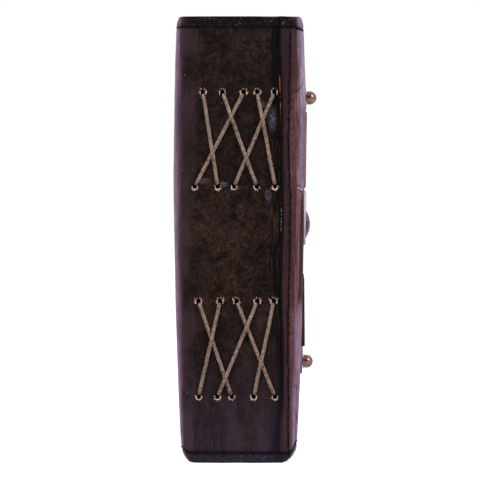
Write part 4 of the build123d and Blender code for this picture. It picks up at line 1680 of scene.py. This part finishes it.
class JOURNAL_OT_leaves(bpy.types.Operator):
    """Gives the block of leaves its paper, and the ragged edges of its leaves."""

    bl_idname = "journal.leaves"
    bl_label = "Leaves"

    def execute(self, context):
        paper = paper_finish("handmade paper")
        block = frame["nodes"]["text_block"]
        block.data.materials.clear()
        block.data.materials.append(paper)
        route = leaf_route()
        count = size().leaves
        points = []
        faces = []
        along = np.arange(len(route))
        for leaf in range(count):
            middle = (leaf + 0.5) / count
            half = LEAF_FULL / count / 2
            ragged = ripple(along * DECKLE_WAVES[0], along * 0, leaf * DECKLE_SEEDS[0])
            fine = ripple(along * DECKLE_WAVES[1], along * 0, leaf * DECKLE_SEEDS[1])
            ragged = ragged + DECKLE_FINE * fine
            reach = size().leaf_deckle * (DECKLE_MIDDLE + DECKLE_SWING * ragged)
            tuck = -size().leaf_tuck
            start = len(points)
            for place, out in ((-half, reach), (half, reach), (half, tuck), (-half, tuck)):
                y = route[:, 0] + route[:, 2] * out
                z = route[:, 1] + route[:, 3] * out
                x = leaf_place(middle + place, y, np.clip(z, page_tail, page_head))
                points += np.stack([x, y, z], axis=-1).tolist()
            strips = [start + side * len(route) + along for side in range(LEAF_CORNERS)]
            for first, second in zip(strips, strips[1:] + strips[:1]):
                faces += np.stack([first[:-1], first[1:], second[1:], second[:-1]], axis=-1).tolist()
            faces.append([int(strip[0]) for strip in strips])
            faces.append([int(strip[-1]) for strip in strips[::-1]])
        edge_paper = paper_finish("ragged paper edges")
        mesh = mesh_from("leaf_edges", in_frame(np.array(points)), faces)
        mesh.polygons.foreach_set("use_smooth", [False] * len(mesh.polygons))
        piece = new_object("leaf_edges", mesh, edge_paper)
        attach(piece, "spine")
        return {"FINISHED"}


# Lacing and stitches.


def lines_object(name, routes):
    """Open lines, one for each route of points."""
    points = []
    edges = []
    for route in routes:
        start = len(points)
        points += in_frame(np.asarray(route)).tolist()
        edges += [(start + step, start + step + 1) for step in range(len(route) - 1)]
    mesh = bpy.data.meshes.new(name)
    mesh.from_pydata(points, edges, [])
    return new_object(name, mesh)


def new_tree(name, inputs):
    """A node tree that takes lines and some named sizes, and gives a mesh."""
    tree = bpy.data.node_groups.new(name, "GeometryNodeTree")
    tree.interface.new_socket("Geometry", in_out="OUTPUT", socket_type="NodeSocketGeometry")
    tree.interface.new_socket("Lines", in_out="INPUT", socket_type="NodeSocketGeometry")
    for key, kind in inputs:
        tree.interface.new_socket(key, in_out="INPUT", socket_type=kind)
    return tree, add(tree, "NodeGroupInput", {}).outputs, add(tree, "NodeGroupOutput", {})


def finish_tree(tree, given, source, last):
    """Ends a tree with smooth, real meshes that carry their material."""
    real = add(tree, "GeometryNodeRealizeInstances", {0: source})
    smooth = add(tree, "GeometryNodeSetShadeSmooth", {0: real.outputs[0]})
    painted = add(tree, "GeometryNodeSetMaterial", {0: smooth.outputs[0], "Material": given["Material"]})
    tree.links.new(painted.outputs[0], last.inputs[0])


def stepped_off(tree, lines, step):
    """Lines as a curve with a point at each step."""
    curve = add(tree, "GeometryNodeMeshToCurve", {0: lines})
    inputs = {"Curve": curve.outputs[0], "Length": step}
    return add(tree, "GeometryNodeResampleCurve", inputs, mode="LENGTH").outputs[0]


def marked(tree, name, curve, value):
    """A curve that carries a named value."""
    inputs = {"Name": name, "Geometry": curve, "Value": value}
    return add(tree, "GeometryNodeStoreNamedAttribute", inputs).outputs[0]


def stitch_tree():
    """Rows of stitches: lines are stepped off and a short swell of thread is laid along each step."""
    tree, given, last = new_tree("stitch rows", (
        ("Pitch", "NodeSocketFloat"), ("Stitch", "NodeSocketFloat"), ("Thread", "NodeSocketFloat"),
        ("Seed", "NodeSocketInt"), ("Material", "NodeSocketMaterial")))
    spaced = stepped_off(tree, given["Lines"], given["Pitch"])
    inputs = {"Segments": SWELL_SEGMENTS, "Rings": SWELL_RINGS, "Radius": SWELL_RADIUS}
    swell = add(tree, "GeometryNodeMeshUVSphere", inputs).outputs["Mesh"]
    sizes = add(tree, "ShaderNodeCombineXYZ", {0: given["Stitch"], 1: given["Thread"], 2: given["Thread"]})
    drawn = add(tree, "GeometryNodeTransform", {"Geometry": swell, "Scale": sizes.outputs[0]})
    tangent = add(tree, "GeometryNodeInputTangent", {})
    turn = add(tree, "FunctionNodeAlignRotationToVector", {"Vector": tangent.outputs[0]}, axis="X")
    limits = {2: STITCH_LEAST, 3: STITCH_MOST, "Seed": given["Seed"]}
    uneven = add(tree, "FunctionNodeRandomValue", limits)
    inputs = {"Points": spaced, "Instance": drawn.outputs[0], "Rotation": turn.outputs[0],
              "Scale": uneven.outputs[1]}
    finish_tree(tree, given, add(tree, "GeometryNodeInstanceOnPoints", inputs).outputs[0], last)
    return tree


def cord_tree():
    """Twisted cord: a lobed section drawn along each line while it turns."""
    tree, given, last = new_tree("twisted cord", (
        ("Thickness", "NodeSocketFloat"), ("Twist", "NodeSocketFloat"), ("Step", "NodeSocketFloat"),
        ("Lobe", "NodeSocketFloat"), ("Material", "NodeSocketMaterial")))
    spaced = stepped_off(tree, given["Lines"], given["Step"])
    run = add(tree, "GeometryNodeSplineParameter", {}).outputs
    along = marked(tree, "along", spaced, run["Length"])
    full_turn = tree_math(tree, "MULTIPLY", run["Length"], given["Twist"])
    tilt = tree_math(tree, "MULTIPLY", full_turn, 2 * math.pi)
    turned = add(tree, "GeometryNodeSetCurveTilt", {"Curve": along, "Tilt": tilt}).outputs[0]
    radius = tree_math(tree, "DIVIDE", given["Thickness"], 2)
    ring = add(tree, "GeometryNodeCurvePrimitiveCircle", {"Resolution": CORD_SIDES, "Radius": radius})
    around = marked(tree, "around", ring.outputs[0], run["Factor"])
    strands = tree_math(tree, "MULTIPLY", run["Factor"], STRANDS * 2 * math.pi)
    wave = tree_math(tree, "COSINE", strands, 0)
    lobes = tree_math(tree, "ADD", tree_math(tree, "MULTIPLY", wave, given["Lobe"]), 1)
    spot = add(tree, "GeometryNodeInputPosition", {}).outputs[0]
    grown = add(tree, "ShaderNodeVectorMath", {0: spot, "Scale": lobes}, operation="SCALE").outputs[0]
    section = add(tree, "GeometryNodeSetPosition", {"Geometry": around, "Position": grown}).outputs[0]
    inputs = {"Curve": turned, "Profile Curve": section, "Fill Caps": True}
    finish_tree(tree, given, add(tree, "GeometryNodeCurveToMesh", inputs).outputs[0], last)
    return tree


def grow(piece, tree, values):
    """Runs a tree on a piece's lines and leaves the plain mesh that it makes."""
    modifier = piece.modifiers.new(tree.name, "NODES")
    modifier.node_group = tree
    names = {item.name: item.identifier for item in tree.interface.items_tree if item.in_out == "INPUT"}
    for key, value in values.items():
        modifier[names[key]] = value
    settle(piece)
    if not piece.data.polygons:
        raise RuntimeError(f"{piece.name} came out empty")
    return piece


def crossings(cords, index):
    """How far down one cord the cords that it runs over are met, from 0 to 1."""
    top_x, bottom_x, over = cords[index]
    found = []
    for other_top, other_bottom, other_over in cords:
        at_top = top_x - other_top
        at_bottom = bottom_x - other_bottom
        if over and not other_over and at_top * at_bottom < 0:
            found.append(at_top / (at_top - at_bottom))
    return found


def cord_route(cords, index, top, bottom):
    """A cord's line: out of its upper hole, down the spine, over what it crosses, and into its lower hole."""
    top_x, bottom_x, _ = cords[index]
    run = math.hypot((bottom_x - top_x) * MM, top - bottom)
    short = size().cord_short / run
    share = np.linspace(short, 1 - short, CORD_STEPS)
    x = (top_x + (bottom_x - top_x) * share) * MM
    z = top + (bottom - top) * share
    y = np.full_like(share, -size().cord / 2 - size().cord_lift)
    lifted = np.zeros_like(share)
    for crossing in crossings(cords, index):
        near = np.clip(1 - np.abs(share - crossing) * run / size().hump_reach, 0, 1)
        lifted = np.maximum(lifted, ease(near, 0, HUMP_TOP))
    y = y - size().hump * lifted
    into = np.minimum(share - short, 1 - short - share) * run
    dip = 1 - ease(into, 0, DIP_REACH * size().cord)
    y = y + (size().cord / 2 + size().cord_lift) * dip
    seed = SLACK_SEEDS[0] * index + SLACK_SEEDS[1] * top
    slack = CORD_SLACK * ripple(share * SLACK_WAVES, share * 0, seed)
    line = np.stack([x + slack, y, z], axis=-1)
    inside = np.array([0, size().hole_reach, 0])
    return np.concatenate([[line[0] + inside], line, [line[-1] + inside]])


class JOURNAL_OT_lacing(bpy.types.Operator):
    """Laces the spine: twisted, waxed cords that cross between four rows of holes."""

    bl_idname = "journal.lacing"
    bl_label = "Lacing"

    def execute(self, context):
        tree = cord_tree()
        values = {"Thickness": size().cord, "Twist": size().cord_twist, "Step": CORD_STEP, "Lobe": CORD_LOBE,
                  "Material": cord_finish()}
        for word, cords, top, bottom in lacing_groups():
            routes = [cord_route(cords, index, top, bottom) for index in range(len(cords))]
            piece = grow(lines_object(word + "_cords", routes), tree, values)
            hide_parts(word + "_lacing")
            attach(piece, "spine")
        return {"FINISHED"}


def tapered_tube(route, widths, shade_shares, points, faces, roots):
    """A rough tube along a route of points, with a thickness and a darkness at each."""
    start = len(points)
    along = np.gradient(route, axis=0)
    along /= np.linalg.norm(along, axis=1, keepdims=True)
    side = np.cross(along, (0, -1, 0))
    side /= np.linalg.norm(side, axis=1, keepdims=True)
    out = np.cross(side, along)
    for spot, wide, dark, right, up in zip(route, widths, shade_shares, side, out):
        for step in range(TUBE_SIDES):
            angle = 2 * math.pi * step / TUBE_SIDES
            points.append(spot + wide / 2 * (right * math.cos(angle) + up * math.sin(angle)))
            roots.append(dark)
    for ring in range(len(route) - 1):
        first = start + ring * TUBE_SIDES
        for step in range(TUBE_SIDES):
            after = (step + 1) % TUBE_SIDES
            faces.append([first + step, first + after, first + TUBE_SIDES + after, first + TUBE_SIDES + step])
    last = start + (len(route) - 1) * TUBE_SIDES
    faces.append([start + step for step in range(TUBE_SIDES)])
    faces.append([last + step for step in reversed(range(TUBE_SIDES))])


def chance(*place):
    """A steady random value near 0 for a place."""
    return noise.noise(Vector((place + CHANCE_FILL)[:3]) * CHANCE_STEP)


def about(pair, value):
    """A middle value moved by chance."""
    return pair[0] + pair[1] * value


def torn_lip(index, x, z, points, faces, roots):
    """The pale lip that a cord has pulled up under a hole of a bottom row."""
    share = np.linspace(0, 1, LIP_STEPS)
    spread = LIP_SPREAD * about(LIP_SPREADS, chance(index, 4))
    angle = -math.pi / 2 + spread * (2 * share - 1) + LIP_TILT * chance(index, 2)
    ragged = np.array([chance(index, LIP_RAGS * step / LIP_STEPS) for step in range(LIP_STEPS)])
    wide = size().hole / 2 * about(LIP_WIDE, ragged)
    tall = size().hole_height / 2 * about(LIP_TALL, ragged)
    lift = size().lip * about(LIP_LIFT, np.abs(ragged))
    route = np.stack([x + wide * np.cos(angle), -lift, z + tall * np.sin(angle)], axis=-1)
    stout = size().lip * about(LIP_STOUT, chance(index, 6))
    full = np.sin(math.pi * share)
    widths = stout * about(LIP_TAPER, full ** LIP_FULLNESS) * (1 + LIP_UNEVEN * ragged)
    stained = np.clip(LIP_STAIN * ragged[::-1], 0, LIP_DARKEST)
    tapered_tube(route, widths, np.maximum(LIP_ROOT * (1 - full) ** 2, stained), points, faces, roots)


def torn_horn(index, number, x, z, side, reach, points, faces, roots):
    """A torn point that stands up beside a hole."""
    share = np.linspace(0, 1, HORN_STEPS)
    place = HORN_PLACES * number + side
    long = reach * about(HORN_LONG, chance(index, place))
    spread = long * about(HORN_SPREAD, chance(index, place, 3))
    bow = HORN_BOW * long * np.sin(math.pi * share)
    across = x + side * (size().hole / 2 * HORN_FOOT + spread * share ** 2 + bow)
    up = z - HORN_DROP + HORN_RISE * number + long * share
    route = np.stack([across, -about(HORN_OUT, share), up], axis=-1)
    stout = size().lip * about(HORN_STOUT, chance(index, place, 8))
    widths = stout * (1 - HORN_TAPER * share ** HORN_POINT)
    tapered_tube(route, widths, HORN_ROOT * (1 - share) ** 2, points, faces, roots)


def torn_hair(index, number, x, z, way, points, faces, roots):
    """A loose fibre at the torn rim of a hole."""
    share = np.linspace(0, 1, HAIR_STEPS)
    fan = LIP_SPREAD * (2 * (number + 0.5) / HAIRS - 1)
    angle = way * math.pi / 2 + fan + HAIR_TURN * chance(index, number, 1)
    long = size().hair * about(HAIR_LONG, abs(chance(index, number, 5)))
    bent = angle + HAIR_BEND * chance(index, number, 7) * share
    across = x + size().hole / 2 * math.cos(angle) + long * share * np.cos(bent)
    up = z + size().hole_height / 2 * HAIR_FOOT * math.sin(angle) + long * share * np.sin(bent)
    route = np.stack([across, -HAIR_LIFT - HAIR_OUT * long * share, up], axis=-1)
    widths = size().hair_width * (1 - HAIR_TAPER * share)
    tapered_tube(route, widths, HAIR_ROOT * (1 - share), points, faces, roots)


class JOURNAL_OT_torn_holes(bpy.types.Operator):
    """Raises the torn edges round the lacing holes."""

    bl_idname = "journal.torn_holes"
    bl_label = "Torn holes"

    def execute(self, context):
        points = []
        faces = []
        roots = []
        for index, (x, z, way) in enumerate(lacing_holes()):
            reach = size().horn if z < cover_height / 2 else size().small_horn
            if way < 0:
                torn_lip(index, x, z, points, faces, roots)
                reach = HORN_UNDER_LIP * reach
            for side in (-1, 1):
                for number in range(HORNS):
                    torn_horn(index, number, x, z, side, reach, points, faces, roots)
            for number in range(HAIRS):
                torn_hair(index, number, x, z, way, points, faces, roots)
        mesh = mesh_from("torn_hole_rims", in_frame(np.array(points)), faces, {"root": roots})
        piece = new_object("torn_hole_rims", mesh, torn_finish())
        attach(piece, "spine")
        return {"FINISHED"}


def border_route(side, inset, first_run):
    """The stitched line along a hide's tail, fore-edge and head."""
    fore = 3 - size().fore_line / cover_depth
    on_spine, in_turn, on_cover = BORDER_COLUMNS
    out = steps((first_run, 1, on_spine), (1, 2, in_turn), (2, fore, on_cover))
    tail = tail_line(side, out)
    head = head_line(side, out)
    up = np.linspace(tail[-1], head[-1], BORDER_STEPS)[1:-1]
    run = np.concatenate([out, np.full_like(up, fore), out[::-1]])
    return hide_point(side, run, np.concatenate([tail, up, head[::-1]]), inset)


def seam_route():
    """The stitched line down the spine beside the front hide's cut edge."""
    low = size().tail_line + size().stitch_pitch
    high = cover_height - size().head_line - size().stitch_pitch
    z = np.linspace(low, high, SEAM_STEPS)
    free = hide_free_edge(FRONT, 0, z)
    run = (seam_stitches(z) - free) / (size().front_flat - free)
    return hide_point(FRONT, np.minimum(run, 1), z, size().stitch_sink - SEAM_PROUD * size().thread)


class JOURNAL_OT_stitches(bpy.types.Operator):
    """Sews the hides: along head, tail and fore-edges, and down the seam on the spine."""

    bl_idname = "journal.stitches"
    bl_label = "Stitches"

    def execute(self, context):
        tree = stitch_tree()
        material = thread_finish()
        values = {"Pitch": size().stitch_pitch, "Stitch": size().stitch,
                  "Thread": size().thread, "Material": material}
        sunk = size().stitch_sink - BORDER_PROUD * size().thread
        inside = size().leather + size().lining - INNER_SUNK * size().thread
        rows = (("back", BACK, BACK_STITCHES_START, BACK_INNER_START, BACK_STITCH_SEED),
                ("front", FRONT, FRONT_STITCHES_START, FRONT_LINING_START, FRONT_STITCH_SEED))
        for word, side, first, inner_first, seed in rows:
            routes = [border_route(side, sunk, first), border_route(side, inside, inner_first)]
            if side == FRONT:
                routes.append(seam_route())
            piece = grow(lines_object(word + "_stitches", routes), tree, {**values, "Seed": seed})
            blend_with_cover(piece)
        return {"FINISHED"}


# Straps, overlays, studs and stone.


def softened_copy(node, name, material):
    """A copy of a solid with its edges rounded."""
    mesh = frame["nodes"][node].data.copy()
    mesh.name = name
    work = bmesh.new()
    work.from_mesh(mesh)
    bmesh.ops.remove_doubles(work, verts=work.verts, dist=MERGE_REACH)
    bmesh.ops.dissolve_limit(work, angle_limit=FLAT_ANGLE, verts=work.verts, edges=work.edges)
    work.to_mesh(mesh)
    work.free()
    piece = new_object(name, mesh, material)
    bevel = piece.modifiers.new("rounded edges", "BEVEL")
    bevel.width = size().trim_edge
    bevel.segments = ROUND_STEPS
    bevel.limit_method = "ANGLE"
    bevel.angle_limit = ROUND_ANGLE
    settle(piece)
    piece.data.polygons.foreach_set("use_smooth", [True] * len(piece.data.polygons))
    piece.data.set_sharp_from_angle(angle=SHARP_ANGLE)
    return piece


class JOURNAL_OT_trims(bpy.types.Operator):
    """Makes the overlays and the stone's ring on the front cover, and the two straps."""

    bl_idname = "journal.trims"
    bl_label = "Overlays, ring and straps"

    def execute(self, context):
        colours = hue()
        dark_edge = (colours.overlay, colours.overlay_dark, colours.overlay_dark)
        overlay = trim_finish("dark red overlay leather", *dark_edge, AXIS_UP, CUT_SIDES)
        leather = (colours.strap, colours.strap_dark)
        strap = trim_finish("upper strap leather", *leather, colours.strap_edge, AXIS_UP, CUT_SIDES)
        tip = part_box("lower_strap")[0].y
        low_edge = (*leather, colours.strap_edge_low)
        low_strap = trim_finish("lower strap leather", *low_edge, AXIS_UP, CUT_SIDES, tip)
        ring = trim_finish("stone ring leather", *leather, colours.ring_edge_highlight, AXIS_ACROSS, RING_SIDES)
        pieces = (("upper_overlay", overlay, "overlay_leather", "front_cover"),
                  ("lower_overlay", overlay, "overlay_leather", "front_cover"),
                  ("stone_setting", ring, "overlay_leather", "front_cover"),
                  ("upper_strap", strap, "strap_leather", "back_cover"),
                  ("lower_strap", low_strap, "strap_leather", "back_cover"))
        for node, material, slot, body in pieces:
            piece = softened_copy(node, node + "_soft", material)
            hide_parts(node)
            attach(piece, body)
        return {"FINISHED"}


class JOURNAL_OT_studs_and_stone(bpy.types.Operator):
    """Gives the studs their aged copper and the stone its polish."""

    bl_idname = "journal.studs_and_stone"
    bl_label = "Studs and stone"

    def execute(self, context):
        metal = metal_finish()
        for node, material in (("upper_stud", metal), ("lower_stud", metal), ("stone", stone_finish())):
            solid = frame["nodes"][node]
            solid.data.materials.clear()
            solid.data.materials.append(material)
        return {"FINISHED"}


# Stage.


def seen_plainly(tree, lit, plain):
    """A shader that the camera, gloss and clear surfaces see as plain, and others as it is lit."""
    path = add(tree, "ShaderNodeLightPath", {}).outputs
    seen = path["Is Camera Ray"]
    for kind in ("Is Glossy Ray", "Is Transmission Ray"):
        seen = tree_math(tree, "MAXIMUM", seen, path[kind])
    return add(tree, "ShaderNodeMixShader", {0: seen, 1: lit, 2: plain}).outputs[0]


def dim_side(tree):
    """The level of the surround by direction: full at the sides and behind, dim on the viewer's side."""
    place = add(tree, "ShaderNodeTexCoord", {}).outputs["Generated"]
    back = add(tree, "ShaderNodeSeparateXYZ", {0: place}).outputs["Y"]
    inputs = {"Value": back, "From Min": DIM_SIDE[0], "From Max": DIM_SIDE[1],
              "To Min": stage().viewer_side, "To Max": 1}
    return add(tree, "ShaderNodeMapRange", inputs, interpolation_type="SMOOTHSTEP").outputs["Result"]


def floor_finish():
    """A pale floor that keeps a faint shadow."""
    material = bpy.data.materials.new("pale floor")
    material.use_nodes = True
    tree = material.node_tree
    tree.nodes.clear()
    grey = stage().floor_grey
    matt = add(tree, "ShaderNodeBsdfDiffuse", {"Color": (grey, grey, grey)}).outputs[0]
    white = add(tree, "ShaderNodeEmission", {"Strength": stage().floor_white}).outputs[0]
    washed = add(tree, "ShaderNodeAddShader", {0: matt, 1: white}).outputs[0]
    add(tree, "ShaderNodeOutputMaterial", {"Surface": seen_plainly(tree, matt, washed)})
    return material


def soft_light(name, place, aim, power):
    """A large soft light that looks at the journal."""
    lamp = bpy.data.lights.new(name, "AREA")
    lamp.shape = "DISK"
    lamp.size = stage().light_size
    lamp.energy = power
    light = bpy.data.objects.new(name, lamp)
    bpy.context.scene.collection.objects.link(light)
    light.location = place
    light.rotation_euler = (aim - place).to_track_quat("-Z", "Y").to_euler()


class JOURNAL_OT_stage(bpy.types.Operator):
    """Sets the floor, the soft light and the camera."""

    bl_idname = "journal.stage"
    bl_label = "Stage"

    def execute(self, context):
        half = stage().floor / 2
        corners = [(-half, -half, 0), (half, -half, 0), (half, half, 0), (-half, half, 0)]
        mesh = bpy.data.meshes.new("floor")
        mesh.from_pydata(corners, [], [(0, 1, 2, 3)])
        new_object("floor", mesh, floor_finish())
        world = context.scene.world or bpy.data.worlds.new("soft surround")
        context.scene.world = world
        world.use_nodes = True
        tree = world.node_tree
        tree.nodes.clear()
        around = dim_side(tree)
        level = tree_math(tree, "MULTIPLY", around, stage().surround)
        lit = add(tree, "ShaderNodeBackground", {"Color": WHITE, "Strength": level}).outputs[0]
        path = add(tree, "ShaderNodeLightPath", {}).outputs
        bright = tree_math(tree, "MAXIMUM", around, path["Is Camera Ray"])
        plain = add(tree, "ShaderNodeBackground", {"Color": WHITE, "Strength": bright}).outputs[0]
        add(tree, "ShaderNodeOutputWorld", {"Surface": seen_plainly(tree, lit, plain)})
        middle = Vector((middle_x, spine_y, cover_height / 2))
        height = stage().light_height
        soft_light("key light", middle + Vector((*KEY_PLACE, height)), middle, stage().key_power)
        fill = Vector((*FILL_PLACE, FILL_HEIGHT * height))
        soft_light("fill light", middle + fill, middle, stage().fill_power)
        aim = Vector((middle_x + stage().aim_side, spine_y, stage().aim_height))
        eye = Vector((aim.x, spine_y - stage().camera_distance, stage().camera_height))
        lens = bpy.data.cameras.new("camera")
        lens.sensor_width = stage().sensor
        lens.lens = stage().sensor * (aim - eye).length / stage().picture_width
        lens.clip_start = CLIP_START
        camera = bpy.data.objects.new("camera", lens)
        context.scene.collection.objects.link(camera)
        camera.location = eye
        camera.rotation_euler = (aim - eye).to_track_quat("-Z", "Y").to_euler()
        context.scene.camera = camera
        context.scene.view_settings.view_transform = "Standard"
        return {"FINISHED"}


OPERATORS = (
    JOURNAL_OT_case_hide,
    JOURNAL_OT_front_hide,
    JOURNAL_OT_linings,
    JOURNAL_OT_leaves,
    JOURNAL_OT_lacing,
    JOURNAL_OT_torn_holes,
    JOURNAL_OT_stitches,
    JOURNAL_OT_trims,
    JOURNAL_OT_studs_and_stone,
    JOURNAL_OT_stage,
)


class JOURNAL_PT_panel(bpy.types.Panel):
    """Lists the journal's pieces."""

    bl_idname = "JOURNAL_PT_panel"
    bl_label = "Laced leather journal"
    bl_space_type = "VIEW_3D"
    bl_region_type = "UI"
    bl_category = "Journal"

    def draw(self, context):
        for operator in OPERATORS:
            self.layout.operator(operator.bl_idname)


CLASSES = (JournalSizes, JournalColours, JournalStage, *OPERATORS, JOURNAL_PT_panel)


def register():
    for item in CLASSES:
        bpy.utils.register_class(item)
    bpy.types.Scene.journal_sizes = PointerProperty(type=JournalSizes)
    bpy.types.Scene.journal_colours = PointerProperty(type=JournalColours)
    bpy.types.Scene.journal_stage = PointerProperty(type=JournalStage)


def unregister():
    del bpy.types.Scene.journal_stage
    del bpy.types.Scene.journal_colours
    del bpy.types.Scene.journal_sizes
    for item in reversed(CLASSES):
        bpy.utils.unregister_class(item)


def main():
    register()
    bpy.ops.journal.case_hide()
    bpy.ops.journal.front_hide()
    bpy.ops.journal.linings()
    bpy.ops.journal.leaves()
    bpy.ops.journal.lacing()
    bpy.ops.journal.torn_holes()
    bpy.ops.journal.stitches()
    bpy.ops.journal.trims()
    bpy.ops.journal.studs_and_stone()
    bpy.ops.journal.stage()


if __name__ == "__main__":
    main()
